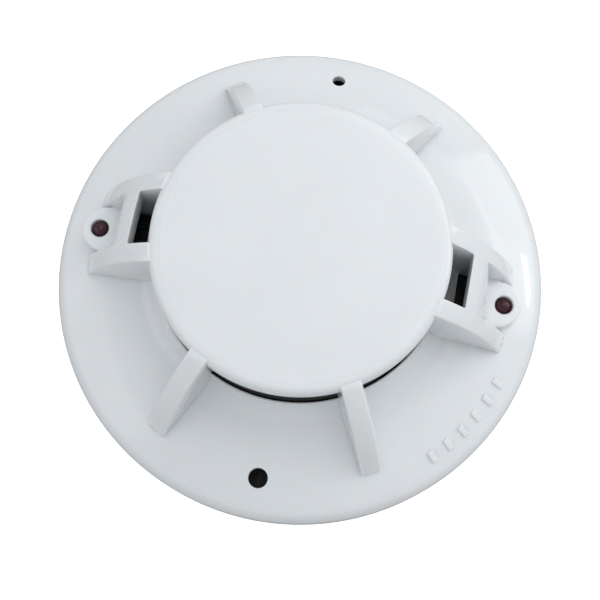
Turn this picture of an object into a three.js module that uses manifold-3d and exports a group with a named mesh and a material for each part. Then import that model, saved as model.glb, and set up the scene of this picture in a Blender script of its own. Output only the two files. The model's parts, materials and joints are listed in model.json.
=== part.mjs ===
// Round ceiling heat detector: a white moulded head with a raised, finned sensing dome and two
// alarm lamps, twisted onto a shallow mounting base by three bayonet hooks.
// Millimetres, +Z from the ceiling face towards the room, +X towards one alarm lamp,
// origin at the centre of the mounting base's ceiling face.
import * as THREE from 'three';
import { mergeVertices } from 'three/addons/utils/BufferGeometryUtils.js';
import Module from 'manifold-3d';

const wasm = await Module();
wasm.setup();

// ---- Fits ---------------------------------------------------------------------------------------
const TOUCH_GAP = 0.2;              // left between pieces that rest on each other
const SLIP_GAP = 0.4;               // radial room round a piece that drops into another
const HOLE_GAP = 0.2;               // radial room round a lead, pin or screw in its hole
const THROUGH = 1;                  // how far a cut runs past the face it opens

// ---- Front cover: skirt, shoulder, crown, fillet and collar of one turned shell -----------------
const COVER_R = 50;
const COVER_WALL = 2;
const COVER_BOTTOM = 4;             // height of the skirt's lower edge above the ceiling
const SKIRT_HEIGHT = 3.6;
const SHOULDER_R = 4.4;
const SHOULDER_END = 60;            // degrees of arc where the shoulder runs into the crown
const CROWN_END = 80.5;             // degrees of arc where the crown runs into the fillet
const FILLET_R = 5.2;
const FLANGE_WIDTH = 21.5;          // from the cover's outside in to the collar
const COLLAR_LIP = 0.7;             // straight part of the collar above its fillet
const COLLAR_WALL = 0.5;            // thickness of the collar's lip, which the cage's foot fits into
const TURN_SEGMENTS = 48;
const ARC_STEPS = 3;

// ---- Front cover: dome held over the collar by fins and lamp arms -------------------------------
const DOME_SETBACK = 0.2;           // dome's rim inside the collar's radius
const AIR_GAP = 8;                  // open height between collar and dome
const DOME_EDGE = 3.7;              // height of the dome's rim, round included
const DOME_ROUND = 1.8;
const DOME_CROWN = 1.7;             // rise of the dome's middle over its rim
const FIN_INSET = 7;                // fins and arms end this far in from the cover's outside
const FIN_BULGE = 1.8;              // how far the fins' top edge bows out of its chord
const FIN_WIDTH = 4;
const FIN_ANGLES = [60, 120, 240, 300];
const ARM_HALF = 8.9;
const ARM_ANGLES = [0, 180];
const SLOT_HALF = 5.3;
const LAMP_INSET = 9;               // the alarm lamps sit this far in from the cover's outside
const ARM_HOLLOW_BACK = 6.6;        // the arm's hollow ends this far behind the lamp
const SLOT_STEP = 2.2;              // the slot ends this far before the hollow does
const SLOT_FOOT = 2.7;              // the collar's foot stays whole this far out under the slot
const POCKET_HALF = 4.8;
const POCKET_BACK = 4;              // the pocket's back wall stands this far behind the lamp
const POCKET_LEAN = 0.2;            // the pocket's back wall leans inwards by this per mm of height
const TONGUE_HALF = 4.6;
const TONGUE_REACH = 3.4;           // the tongue's tip lies this far past the lamp
const TONGUE_RISE = 3;              // tongue's top over the crown's surface below the lamp
const LAMP_SEAT_DEPTH = 3.7;        // from the tongue's top down to the lamp's flange
const PEEP_INSET = 7.75;            // the two tool holes lie this far in from the cover's outside
const PEEP_SMALL = 1.36;
const PEEP_LARGE = 1.92;
const RAISED_BAR_INSETS = [6, 3.4]; // plain raised bars on the crown run between these insets
const RAISED_BAR_ANGLES = [316, 321, 326, 331, 336, 341];
const RAISED_BAR_SPAN = 1.6;        // degrees of arc
const RAISED_BAR_H = 0.3;

// ---- Alarm lamps --------------------------------------------------------------------------------
const LAMP_BODY_R = 1.6;
const LAMP_FLANGE_R = 2;
const LAMP_FLANGE_H = 1;
const LAMP_BODY_H = 4;
const LAMP_SEGMENTS = 14;
const LEAD_R = 0.25;
const LEAD_PITCH = 2.54;
const LEAD_DROP = 1.7;              // the lamp's leads fall this far before they turn inwards
const LEAD_ROOM = 3.5;              // the leads turn down to the board this far outside the cage
const LEAD_BEND = 0.9;
const LEAD_STEPS = 15;
const HOLDER = [4.6, 5.8];          // radial length and width of the lamp's spacer
const HOLDER_WALL = 0.9;

// ---- Head: rear housing, circuit board and fasteners --------------------------------------------
const HOUSING_RECESS = 1;           // the housing's underside lies this far up inside the skirt's end
const HOUSING_THICK = 1.6;
const SEAL_ROOM = 2;                // radial room for the dust seal outside the lip
const HOUSING_LIP_H = 1.2;
const HOUSING_LIP_WALL = 1.4;
const HOUSING_SEGMENTS = 36;
const BOARD_LEDGE = 5.4;            // the board reaches this far outside the cage
const BOARD_THICK = 1.6;
const REED_R = 1.1;
const REED_LENGTH = 10;
const REED_INSET = 5.5;             // the reed switch lies this far in from the board's edge
const REED_ANGLE = 335;
const POST_H = 3.8;
const POST_R = 1.8;
const POST_INSET = 7.5;             // the posts stand this far in from the board's edge
const POST_ANGLES = [0, 120, 240];
const CASE_SCREW_ANGLES = [30, 150, 270];
const CASE_SCREW_R = 1.25;
const CASE_SCREW_HEAD_R = 2.5;
const CASE_SCREW_LENGTH = 5.6;
const CASE_BOSS_R = 2.9;
const CASE_BOSS_GAP = 1.6;          // between the board's edge and the bosses

// ---- Sensing chamber ----------------------------------------------------------------------------
const CAGE_WALL = 1.5;
const CAGE_TOP_THICK = 1.2;
const CAGE_WINDOWS = 14;
const CAGE_WINDOW_WIDTH = 3.6;
const CAGE_VENTS = 8;
const CAGE_VENT_R = 1.8;
const CAGE_VENT_INSET = 8.6;        // the vents lie this far in from the cage's inner wall
const SCREEN_WALL = 0.4;
const THERMISTOR_R = 1.3;
const THERMISTOR_DROP = 3;          // centre of the bead below the cage's roof
const THERMISTOR_LONG = 1.4;        // the bead is drawn out by this much along its leads
const THERMISTOR_POST_R = 2.8;
const THERMISTOR_POST_H = 8;

// ---- Shields under the arms' slots --------------------------------------------------------------
const SHIELD_FOOT = 0.9;            // how far the foot reaches in under the collar
const SHIELD_FOOT_THICK = 0.6;
const SHIELD_DEPTH = 1;
const SHIELD_RISE = 1;

// ---- Contacts between head and base -------------------------------------------------------------
const CONTACT_ANGLES = [45, 135, 225, 315];
const BLADE_INSET = 0.1;            // the blades' middle lies this far in from the board's edge
const BLADE_WIDTH = 4;
const BLADE_THICK = 0.35;
const BLADE_FLAT = 6.4;
const BLADE_REACH = 6;
const BLADE_TIP = 1.8;
const BLADE_LEG = [0.8, 1];         // thickness and width of the leg up to the board
const BLADE_LEG_STUB = 0.4;         // how far the leg stands out of the board
const RIVET_R = 0.8;
const RIVET_HEAD_R = 1.4;
const RIVET_HEAD_H = 0.45;

// ---- Mounting base ------------------------------------------------------------------------------
const BASE_SETBACK = 4;             // radial room between the cover's skirt and the base
const BASE_FLOOR = 2;
const RIM_GAP = 0.7;                // between the base's rim and the housing above it
const BASE_WALL = 1.8;
const BASE_SEGMENTS = 36;
const CABLE_HOLE_R = 9;
const GROMMET_WALL = 1.6;
const GROMMET_H = 3.2;
const FIXING_INSET = 11;            // the fixing slots lie this far in from the base's edge
const FIXING_ANGLES = [0, 180];
const FIXING_LENGTH = 9;
const FIXING_WIDTH = 4.6;
const HOOK_ANGLES = [90, 210, 330];
const HOOK_SPAN = 16;
const HOOK_DEPTH = 3.4;
const HOOK_THICK = 1.4;
const STOP_SPAN = 2;
const LUG_SPAN = 12;
const LUG_THICK = 1.4;
const LUG_REACH = 2.2;
const LUG_LEG = 1.6;
const STOP_CLEARANCE = 1;           // degrees between a lug and its stop
const TERMINAL_STEP = 6.8;          // the clamp screws lie this far inside the contact track
const PAD = [9, 8, 0.4];            // radial, tangential and height over the floor
const PLATE_THICK = 0.8;
const PLATE_TAIL_SPAN = [-10, 25];  // degrees of arc that the contact track covers
const PLATE_TAIL_WIDTH = 4.6;
const PLATE_HEAD = [7.6, 7];        // radial and tangential size under the clamp
const SCREW_R = 1.4;
const SCREW_HEAD_R = 2.7;
const SCREW_HEAD_H = 1.1;
const SCREW_TIP = 0.6;              // height of the screw's end above the ceiling
const SCREW_SLOT = [0.7, 0.6];      // width and depth of the driver slot
const WASHER_SIZE = 6.2;
const WASHER_THICK = 0.5;
const SMALL_SEGMENTS = 14;

// ---- Values worked out from the sizes above -----------------------------------------------------
const radians = (degrees) => degrees * Math.PI / 180;
const polar = (r, degrees) => [r * Math.cos(radians(degrees)), r * Math.sin(radians(degrees))];

const arc = (centre, r, from, to, steps = ARC_STEPS) => Array.from({ length: steps + 1 }, (_, i) => {
  const [x, y] = polar(r, from + (to - from) * i / steps);
  return [centre[0] + x, centre[1] + y];
});

const collarR = COVER_R - FLANGE_WIDTH;
const collarBore = collarR - COLLAR_WALL;
const domeR = collarR - DOME_SETBACK;
const finEndR = COVER_R - FIN_INSET;
const lampR = COVER_R - LAMP_INSET;
const armHollow = lampR - ARM_HOLLOW_BACK;
const slotFoot = collarR + SLOT_FOOT;
const pocketBack = lampR - POCKET_BACK;
const tongueTip = lampR + TONGUE_REACH;

const shoulderCentre = [COVER_R - SHOULDER_R, COVER_BOTTOM + SKIRT_HEIGHT];
const shoulderEnd = arc(shoulderCentre, SHOULDER_R, 0, SHOULDER_END).at(-1);
const filletCentreR = collarR + FILLET_R;
const crownRun = shoulderEnd[0] - (filletCentreR - FILLET_R * Math.cos(radians(CROWN_END)));
const crownR = crownRun / (Math.cos(radians(SHOULDER_END)) - Math.cos(radians(CROWN_END)));
const crownCentre = [
  shoulderEnd[0] - crownR * Math.cos(radians(SHOULDER_END)),
  shoulderEnd[1] - crownR * Math.sin(radians(SHOULDER_END)),
];
const crownEnd = arc(crownCentre, crownR, SHOULDER_END, CROWN_END).at(-1);
const filletCentre = [filletCentreR, crownEnd[1] + FILLET_R * Math.sin(radians(CROWN_END))];
const collarTop = filletCentre[1] + COLLAR_LIP;
const domeBottom = collarTop + AIR_GAP;
const domeEdgeTop = domeBottom + DOME_EDGE;
const coverTop = domeEdgeTop + DOME_CROWN;
const crownHeight = (r) => crownCentre[1] + Math.sqrt(crownR ** 2 - (r - crownCentre[0]) ** 2);
const tongueTop = crownHeight(lampR) + TONGUE_RISE;
const lampBottom = tongueTop - LAMP_SEAT_DEPTH - LAMP_FLANGE_H;
const holderTop = crownHeight(lampR + HOLDER[0]) - COVER_WALL - SLIP_GAP;

const housingBottom = COVER_BOTTOM + SKIRT_HEIGHT - HOUSING_RECESS;
const housingTop = housingBottom + HOUSING_THICK;
const housingR = COVER_R - COVER_WALL - SLIP_GAP;
const lipR = housingR - SEAL_ROOM;
const sealInner = lipR + TOUCH_GAP;
const sealOuter = housingR - TOUCH_GAP;
const sealTop = shoulderCentre[1] - TOUCH_GAP
  + Math.sqrt((SHOULDER_R - COVER_WALL) ** 2 - (sealOuter - shoulderCentre[0]) ** 2);
const boardBottom = housingTop + POST_H + TOUCH_GAP;
const boardTop = boardBottom + BOARD_THICK;
const cageR = collarR - COVER_WALL - SLIP_GAP;
const cageFootR = collarBore - SLIP_GAP;
const cageBottom = boardTop + TOUCH_GAP;
const cageTop = domeBottom + DOME_EDGE / 4;
const cageInner = cageR - CAGE_WALL;
const cageRoof = cageTop - CAGE_TOP_THICK;
const beadHalf = THERMISTOR_R * THERMISTOR_LONG;
const screenR = cageInner - SLIP_GAP;
const boardR = cageR + BOARD_LEDGE;
const leadTurnR = cageR + LEAD_ROOM;
const caseScrewR = boardR + CASE_BOSS_GAP + CASE_BOSS_R;
const bladeR = boardR - BLADE_INSET;
const terminalR = bladeR - TERMINAL_STEP;

const plateBottom = BASE_FLOOR + PAD[2] + TOUCH_GAP;
const plateTop = plateBottom + PLATE_THICK;
const washerBottom = plateTop + TOUCH_GAP;
const screwHeadBottom = washerBottom + WASHER_THICK + TOUCH_GAP;
const bladeTop = housingBottom - TOUCH_GAP;
const baseR = COVER_R - COVER_WALL - BASE_SETBACK;
const rimTop = housingBottom - RIM_GAP;
const hookR = baseR - BASE_WALL;
const hookBottom = rimTop - HOOK_THICK;
const lugTop = hookBottom - TOUCH_GAP;
const lugOuterR = hookR - SLIP_GAP;
const lugInnerR = lugOuterR - LUG_REACH - LUG_LEG;

// ---- Shape helpers ------------------------------------------------------------------------------
// Turns a closed three.js geometry into a manifold solid; slivers on a turned shape's axis go.
function solidOf(geometry) {
  const bare = geometry.clone();
  bare.deleteAttribute('normal');
  bare.deleteAttribute('uv');
  const merged = mergeVertices(bare);
  const index = merged.index.array;
  const triangles = [];
  for (let i = 0; i < index.length; i += 3) {
    const [a, b, c] = [index[i], index[i + 1], index[i + 2]];
    if (a !== b && b !== c && c !== a) triangles.push(a, b, c);
  }
  return new wasm.Manifold(new wasm.Mesh({
    numProp: 3,
    vertProperties: new Float32Array(merged.attributes.position.array),
    triVerts: new Uint32Array(triangles),
  }));
}

function geometryOf(solid) {
  const mesh = solid.getMesh();
  const geometry = new THREE.BufferGeometry();
  geometry.setAttribute('position', new THREE.BufferAttribute(mesh.vertProperties, 3));
  geometry.setIndex(new THREE.BufferAttribute(mesh.triVerts, 1));
  const faceted = geometry.toNonIndexed();
  faceted.computeVertexNormals();
  return faceted;
}

const sum = (solids) => solids.reduce((whole, solid) => whole.add(solid));
const cut = (solid, tools) => tools.reduce((whole, tool) => whole.subtract(tool), solid);
const flat = (points) => points.map(([x, y]) => new THREE.Vector2(x, y));

// A solid of revolution from [radius, height] points that run anticlockwise.
function turned(points, segments = SMALL_SEGMENTS) {
  const profile = points[0][0] > 0 || points.at(-1)[0] > 0 ? [...points, points[0]] : points;
  return solidOf(new THREE.LatheGeometry(flat(profile), segments).rotateX(Math.PI / 2));
}

const ring = (inner, outer, low, high, segments) =>
  turned([[inner, low], [outer, low], [outer, high], [inner, high]], segments);

const disc = (r, low, high, segments) => turned([[0, low], [r, low], [r, high], [0, high]], segments);

// A plate with the given outline in X and Y, or a ready-made shape.
function plate(outline, low, high) {
  const shape = Array.isArray(outline) ? new THREE.Shape(flat(outline)) : outline;
  const depth = high - low;
  return solidOf(new THREE.ExtrudeGeometry(shape, { depth, bevelEnabled: false, curveSegments: 8 })
    .translate(0, 0, low));
}

// A slab with the given outline in X and Z, reaching half to each side of Y = 0.
function slab(outline, half) {
  const shape = new THREE.Shape(flat(outline));
  return solidOf(new THREE.ExtrudeGeometry(shape, { depth: 2 * half, bevelEnabled: false })
    .translate(0, 0, -half).rotateX(Math.PI / 2));
}

const block = (x0, x1, half, low, high) =>
  plate([[x0, -half], [x1, -half], [x1, half], [x0, half]], low, high);

// A piece of ring between two angles, both under half a turn apart.
function sector(inner, outer, from, to, low, high) {
  return plate([...arc([0, 0], outer, from, to), ...arc([0, 0], inner, to, from)], low, high);
}

const spun = (solid, degrees) => solid.rotate([0, 0, degrees]);
const moved = (solid, r, degrees, z = 0) => solid.translate([...polar(r, degrees), z]);
const around = (solid, angles) => angles.map((degrees) => spun(solid, degrees));

// A round wire through points with rounded corners.
function wire(points, radius, bend, steps) {
  const path = new THREE.CurvePath();
  const at = points.map((point) => new THREE.Vector3(...point));
  let from = at[0];
  for (let i = 1; i < at.length - 1; i += 1) {
    const before = at[i].clone().add(at[i - 1].clone().sub(at[i]).setLength(bend));
    const after = at[i].clone().add(at[i + 1].clone().sub(at[i]).setLength(bend));
    path.add(new THREE.LineCurve3(from, before));
    path.add(new THREE.QuadraticBezierCurve3(before, at[i], after));
    from = after;
  }
  path.add(new THREE.LineCurve3(from, at.at(-1)));
  const section = new THREE.Shape(flat(arc([0, 0], radius, 0, 300, 5)));
  return solidOf(new THREE.ExtrudeGeometry(section, { steps, extrudePath: path, bevelEnabled: false }));
}

// ---- Assembly helpers ---------------------------------------------------------------------------
const FINISHES = {
  whitePlastic: { color: 0xe4e9eb, roughness: 0.32, metalness: 0 },
  backPlastic: { color: 0xdfe3e3, roughness: 0.5, metalness: 0 },
  blackPlastic: { color: 0x17181a, roughness: 0.6, metalness: 0 },
  lampRed: { color: 0x3a0a10, roughness: 0.15, metalness: 0 },
  board: { color: 0x1f5c3a, roughness: 0.55, metalness: 0 },
  tinned: { color: 0xb9bcc0, roughness: 0.35, metalness: 0.9 },
  steel: { color: 0x9a9da1, roughness: 0.4, metalness: 0.9 },
  brass: { color: 0xc9a24b, roughness: 0.35, metalness: 0.9 },
  epoxy: { color: 0x2b2c30, roughness: 0.5, metalness: 0 },
  bead: { color: 0x7a4a1e, roughness: 0.3, metalness: 0 },
  sleeve: { color: 0x26324f, roughness: 0.4, metalness: 0 },
  glassTube: { color: 0xb8cdb4, roughness: 0.1, metalness: 0 },
  rubber: { color: 0x2d2e30, roughness: 0.8, metalness: 0 },
};

const detector = new THREE.Group();
const head = new THREE.Group();
const base = new THREE.Group();
detector.add(base, head);

function piece(parent, name, solid, finish, turn = 0) {
  const mesh = new THREE.Mesh(geometryOf(solid), new THREE.MeshStandardMaterial(FINISHES[finish]));
  mesh.name = name;
  mesh.rotation.z = radians(turn);
  parent.add(mesh);
}

// ---- Front cover --------------------------------------------------------------------------------
// The turned shell's surface, or the one a wall deeper, from the skirt's foot to the collar.
function coverCurve(depth) {
  const arcs = [
    ...arc(shoulderCentre, SHOULDER_R - depth, 0, SHOULDER_END),
    ...arc(crownCentre, crownR - depth, SHOULDER_END, CROWN_END).slice(1),
    ...arc(filletCentre, FILLET_R + depth, 180 + CROWN_END, 180).slice(1),
  ];
  return [[COVER_R - depth, COVER_BOTTOM], ...arcs];
}

function domeProfile() {
  const rim = arc([domeR - DOME_ROUND, domeEdgeTop - DOME_ROUND], DOME_ROUND, 0, 75);
  const [edgeR, edgeZ] = rim.at(-1);
  const cap = [0.75, 0.5, 0.25].map((share) => [edgeR * share, coverTop - (coverTop - edgeZ) * share ** 2]);
  return [[0, domeBottom], [domeR, domeBottom], ...rim, ...cap, [0, coverTop]];
}

// Everything under the bowed edge that the fins and arms share, lowered by depth.
function finEnvelope(depth) {
  const outer = [finEndR, crownHeight(finEndR)];
  const inner = [domeR, domeEdgeTop - DOME_ROUND / 4];
  const chord = Math.hypot(outer[0] - inner[0], outer[1] - inner[1]);
  const bowR = (chord ** 2 / 4 + FIN_BULGE ** 2) / (2 * FIN_BULGE);
  const half = Math.asin(chord / 2 / bowR) * 180 / Math.PI;
  const lean = Math.atan2(outer[0] - inner[0], inner[1] - outer[1]) * 180 / Math.PI;
  const [dx, dz] = polar(bowR - FIN_BULGE, lean);
  const centre = [(outer[0] + inner[0]) / 2 - dx, (outer[1] + inner[1]) / 2 - dz];
  const bow = arc(centre, bowR - depth, lean - half, lean + half, 6);
  const low = crownEnd[1] - 2 * COVER_WALL;
  return turned([[0, low], [bow[0][0], low], ...bow, [0, bow.at(-1)[1]]], TURN_SEGMENTS);
}

// A wide arm, hollow under its roof and with a slot through the roof next to the dome.
function lampArm(envelope) {
  const solid = block(0, COVER_R, ARM_HALF, COVER_BOTTOM, coverTop).intersect(envelope);
  const hollow = block(0, armHollow, SLOT_HALF, COVER_BOTTOM, coverTop)
    .intersect(finEnvelope(COVER_WALL));
  const slot = block(0, armHollow - SLOT_STEP, SLOT_HALF, COVER_BOTTOM, coverTop + THROUGH);
  return cut(solid, [hollow, slot]);
}

// The opening through the flange under the arm's hollow, and the pocket in front of the arm.
function armCuts() {
  const above = coverTop + THROUGH;
  const opening = block(slotFoot, armHollow, SLOT_HALF, housingTop, collarTop);
  const pocket = slab([
    [pocketBack, tongueTop],
    [COVER_R, tongueTop],
    [COVER_R, above],
    [pocketBack - POCKET_LEAN * (above - tongueTop), above],
  ], POCKET_HALF);
  return [opening, pocket];
}

function lampTongue() {
  const centre = [tongueTip - TONGUE_HALF, 0];
  const outline = [
    [pocketBack, -TONGUE_HALF],
    ...arc(centre, TONGUE_HALF, -90, 90, 10),
    [pocketBack, TONGUE_HALF],
  ];
  return plate(outline, crownHeight(tongueTip) - COVER_WALL / 2, tongueTop);
}

function lampBore() {
  const seat = tongueTop - LAMP_SEAT_DEPTH + TOUCH_GAP;
  return disc(LAMP_FLANGE_R + SLIP_GAP, housingTop, seat)
    .add(disc(LAMP_BODY_R + HOLE_GAP, seat - THROUGH, tongueTop + THROUGH))
    .translate([lampR, 0, 0]);
}

function caseBoss() {
  return disc(CASE_BOSS_R, housingTop + TOUCH_GAP, crownHeight(caseScrewR) - COVER_WALL / 2)
    .translate([caseScrewR, 0, 0]);
}

function raisedBar() {
  const raised = turned([[0, COVER_BOTTOM], ...coverCurve(-RAISED_BAR_H), [0, crownEnd[1]]], TURN_SEGMENTS);
  const [from, to] = RAISED_BAR_INSETS.map((inset) => COVER_R - inset);
  return sector(from, to, -RAISED_BAR_SPAN / 2, RAISED_BAR_SPAN / 2,
    crownHeight(to) - COVER_WALL / 2, coverTop).intersect(raised);
}

function frontCover() {
  const outer = turned([[0, COVER_BOTTOM], ...coverCurve(0), [collarR, collarTop], [0, collarTop]],
    TURN_SEGMENTS);
  const dome = turned(domeProfile(), TURN_SEGMENTS);
  const envelope = finEnvelope(0);
  const fin = block(0, COVER_R, FIN_WIDTH / 2, COVER_BOTTOM, coverTop).intersect(envelope);
  const inside = turned([
    [0, COVER_BOTTOM - THROUGH],
    [COVER_R - COVER_WALL, COVER_BOTTOM - THROUGH],
    ...coverCurve(COVER_WALL).slice(1),
    [collarR - COVER_WALL, domeEdgeTop - COVER_WALL],
    [0, domeEdgeTop - COVER_WALL],
  ], TURN_SEGMENTS);
  const raised = [dome, ...around(fin, FIN_ANGLES), ...around(lampArm(envelope), ARM_ANGLES)];
  const shell = cut(sum([outer, ...raised]), [
    inside,
    disc(collarBore, crownEnd[1], collarTop, TURN_SEGMENTS),
    ...armCuts().flatMap((tool) => around(tool, ARM_ANGLES)),
  ]);
  const screwHole = disc(CASE_SCREW_R + HOLE_GAP, housingTop, housingTop + CASE_SCREW_LENGTH)
    .translate([caseScrewR, 0, 0]);
  const whole = sum([
    shell,
    ...around(lampTongue(), ARM_ANGLES),
    ...around(caseBoss(), CASE_SCREW_ANGLES),
    ...around(raisedBar(), RAISED_BAR_ANGLES),
  ]);
  return cut(whole, [
    ...around(lampBore(), ARM_ANGLES),
    ...around(screwHole, CASE_SCREW_ANGLES),
    moved(disc(PEEP_SMALL, COVER_BOTTOM, coverTop), COVER_R - PEEP_INSET, 90),
    moved(disc(PEEP_LARGE, COVER_BOTTOM, coverTop), COVER_R - PEEP_INSET, 270),
  ]);
}

piece(head, 'front_cover', frontCover(), 'whitePlastic');

// ---- Alarm lamps, their leads and spacers -------------------------------------------------------
function alarmLamp() {
  const domeZ = LAMP_FLANGE_H + LAMP_BODY_H - LAMP_BODY_R / 2;
  const cap = arc([0, 0], LAMP_BODY_R, 0, 90).slice(0, -1).map(([x, y]) => [x, domeZ + y / 2]);
  return turned([
    [0, 0],
    [LAMP_FLANGE_R, 0],
    [LAMP_FLANGE_R, LAMP_FLANGE_H],
    [LAMP_BODY_R, LAMP_FLANGE_H],
    ...cap,
    [0, domeZ + LAMP_BODY_R / 2],
  ], LAMP_SEGMENTS).translate([lampR, 0, lampBottom]);
}

function lampLead(side) {
  const y = side * LEAD_PITCH / 2;
  const low = lampBottom - LEAD_DROP;
  return wire([
    [lampR, y, lampBottom - TOUCH_GAP],
    [lampR, y, low],
    [leadTurnR, y, low],
    [leadTurnR, y, boardTop + LEAD_BEND],
  ], LEAD_R, LEAD_BEND, LEAD_STEPS);
}

function lampHolder() {
  const [length, width] = HOLDER;
  const low = housingTop + TOUCH_GAP;
  const body = block(lampR - length / 2, lampR + length / 2, width / 2, low, holderTop);
  const channel = block(lampR - length, lampR + length / 2 - HOLDER_WALL, width / 2 - HOLDER_WALL,
    low + HOLDER_WALL, holderTop + THROUGH);
  return body.subtract(channel);
}

for (const [side, turn] of [['right', 0], ['left', 180]]) {
  piece(head, `alarm_lamp_${side}`, alarmLamp(), 'lampRed', turn);
  piece(head, `lamp_lead_${side}_1`, lampLead(-1), 'tinned', turn);
  piece(head, `lamp_lead_${side}_2`, lampLead(1), 'tinned', turn);
  piece(head, `lamp_holder_${side}`, lampHolder(), 'backPlastic', turn);
}

// ---- Rear housing -------------------------------------------------------------------------------
function caseScrewShape(gap) {
  return turned([
    [0, housingBottom + TOUCH_GAP - gap],
    [CASE_SCREW_HEAD_R + gap, housingBottom + TOUCH_GAP - gap],
    [CASE_SCREW_R + gap, housingTop - TOUCH_GAP],
    [CASE_SCREW_R + gap, housingTop + CASE_SCREW_LENGTH - THROUGH],
    [0, housingTop + CASE_SCREW_LENGTH - THROUGH / 2],
  ]).translate([caseScrewR, 0, 0]);
}

function caseScrew() {
  const low = housingBottom + TOUCH_GAP;
  const [width, depth] = SCREW_SLOT;
  const slot = block(-CASE_SCREW_HEAD_R * 2, CASE_SCREW_HEAD_R * 2, width / 2, low - THROUGH, low + depth);
  return caseScrewShape(0).subtract(slot.translate([caseScrewR, 0, 0]));
}

function bayonetLug() {
  const from = -LUG_SPAN / 2;
  const to = LUG_SPAN / 2;
  const leg = sector(lugInnerR, lugInnerR + LUG_LEG, from, to, lugTop - LUG_THICK, housingTop);
  return leg.add(sector(lugInnerR, lugOuterR, from, to, lugTop - LUG_THICK, lugTop));
}

function rearHousing() {
  const body = sum([
    disc(housingR, housingBottom, housingTop, HOUSING_SEGMENTS),
    ring(lipR - HOUSING_LIP_WALL, lipR, housingTop - THROUGH, housingTop + HOUSING_LIP_H,
      HOUSING_SEGMENTS),
    ...POST_ANGLES.map((degrees) => moved(disc(POST_R, housingTop - THROUGH, housingTop + POST_H),
      boardR - POST_INSET, degrees)),
    ...around(bayonetLug(), HOOK_ANGLES),
  ]);
  return cut(body, [
    ...around(caseScrewShape(HOLE_GAP), CASE_SCREW_ANGLES),
    ...around(bladeLeg(HOLE_GAP), CONTACT_ANGLES),
    ...around(rivetShank(HOLE_GAP), CONTACT_ANGLES),
  ]);
}

// ---- Contact blades: a wiping tongue under the housing and a leg up to the board ----------------
function bladeLeg(gap) {
  const [thick, width] = BLADE_LEG;
  const x = bladeR - BLADE_WIDTH / 2 + width / 2;
  const outline = [[-1, -1], [1, -1], [1, 1], [-1, 1]]
    .map(([sx, sy]) => [x + sx * (width / 2 + gap), -BLADE_FLAT + thick / 2 + sy * (thick / 2 + gap)]);
  return plate(outline, bladeTop - BLADE_THICK, boardTop + BLADE_LEG_STUB + gap);
}

function contactBlade() {
  const low = plateTop + TOUCH_GAP;
  const under = [
    [-BLADE_FLAT, bladeTop - BLADE_THICK],
    [0, bladeTop - BLADE_THICK],
    [BLADE_REACH - BLADE_TIP, low],
    [BLADE_REACH, low + BLADE_TIP / 2],
  ];
  const upper = under.map(([x, z]) => [x, z + BLADE_THICK]).reverse();
  const strip = slab([...under, ...upper], BLADE_WIDTH / 2).rotate([0, 0, 90]);
  return strip.translate([bladeR, 0, 0]).add(bladeLeg(0)).subtract(rivetShank(HOLE_GAP));
}

function rivetShank(gap) {
  return disc(RIVET_R + gap, bladeTop - BLADE_THICK - THROUGH, housingTop + THROUGH)
    .translate([bladeR + RIVET_R / 2, -BLADE_FLAT / 2, 0]);
}

function bladeRivet() {
  const low = bladeTop - BLADE_THICK - TOUCH_GAP;
  const high = housingTop + TOUCH_GAP;
  return turned([
    [0, low - RIVET_HEAD_H],
    [RIVET_HEAD_R, low - RIVET_HEAD_H],
    [RIVET_HEAD_R, low],
    [RIVET_R, low],
    [RIVET_R, high],
    [RIVET_HEAD_R, high],
    [RIVET_HEAD_R, high + RIVET_HEAD_H],
    [0, high + RIVET_HEAD_H],
  ]).translate([bladeR + RIVET_R / 2, -BLADE_FLAT / 2, 0]);
}

piece(head, 'rear_housing', rearHousing(), 'blackPlastic');
piece(head, 'dust_seal', ring(sealInner, sealOuter, housingTop + TOUCH_GAP, sealTop, HOUSING_SEGMENTS),
  'rubber');
CASE_SCREW_ANGLES.forEach((degrees, i) => {
  piece(head, `case_screw_${i + 1}`, caseScrew(), 'steel', degrees);
});
CONTACT_ANGLES.forEach((degrees, i) => {
  piece(head, `contact_blade_${i + 1}`, contactBlade(), 'tinned', degrees);
  piece(head, `blade_rivet_${i + 1}`, bladeRivet(), 'tinned', degrees);
});

// ---- Circuit board and what is soldered to it ---------------------------------------------------
function circuitBoard() {
  const leadHole = (x, y) => disc(LEAD_R + HOLE_GAP, boardBottom - THROUGH, boardTop + THROUGH, 8)
    .translate([x, y, 0]);
  const pitch = LEAD_PITCH / 2;
  const leadHoles = [-1, 1].flatMap((side) => [
    leadHole(leadTurnR, side * pitch),
    leadHole(-leadTurnR, side * pitch),
    leadHole(0, side * pitch),
  ]);
  return cut(disc(boardR, boardBottom, boardTop, HOUSING_SEGMENTS), [
    ...leadHoles,
    ...around(bladeLeg(HOLE_GAP), CONTACT_ANGLES),
  ]);
}

// Parts in the free ring between the thermistor's post and the cage:
// [name, finish, distance from the middle, angle, turn, shape standing on zero].
const partRing = (THERMISTOR_POST_R + cageInner) / 2;
function chip(length, width, height) {
  const [x, y] = [length / 2, width / 2];
  const bevel = height / 4;
  const lower = plate([[-x, -y], [x, -y], [x, y], [-x, y]], 0, height / 2);
  const upper = slab([[-x, 0], [x, 0], [x, height / 2], [x - bevel, height], [bevel - x, height],
    [-x, height / 2]], y);
  return lower.add(upper);
}

function canCapacitor(r, height) {
  const waist = r * 0.92;
  return turned([[0, 0], [r, 0], [r, height * 0.08], [waist, height * 0.12], [r, height * 0.18],
    [r, height - r * 0.1], [r * 0.9, height], [0, height]]);
}

function halfRoundPack(r, height) {
  return plate([...arc([0, 0], r, -45, 225, 10)], 0, height);
}

function lyingTube(r, length) {
  const tube = turned([[0, -length / 2], [r * 0.7, -length / 2], [r, r - length / 2], [r, length / 2 - r],
    [r * 0.7, length / 2], [0, length / 2]], 12);
  return tube.rotate([0, 90, 0]).translate([0, 0, r]);
}

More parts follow.
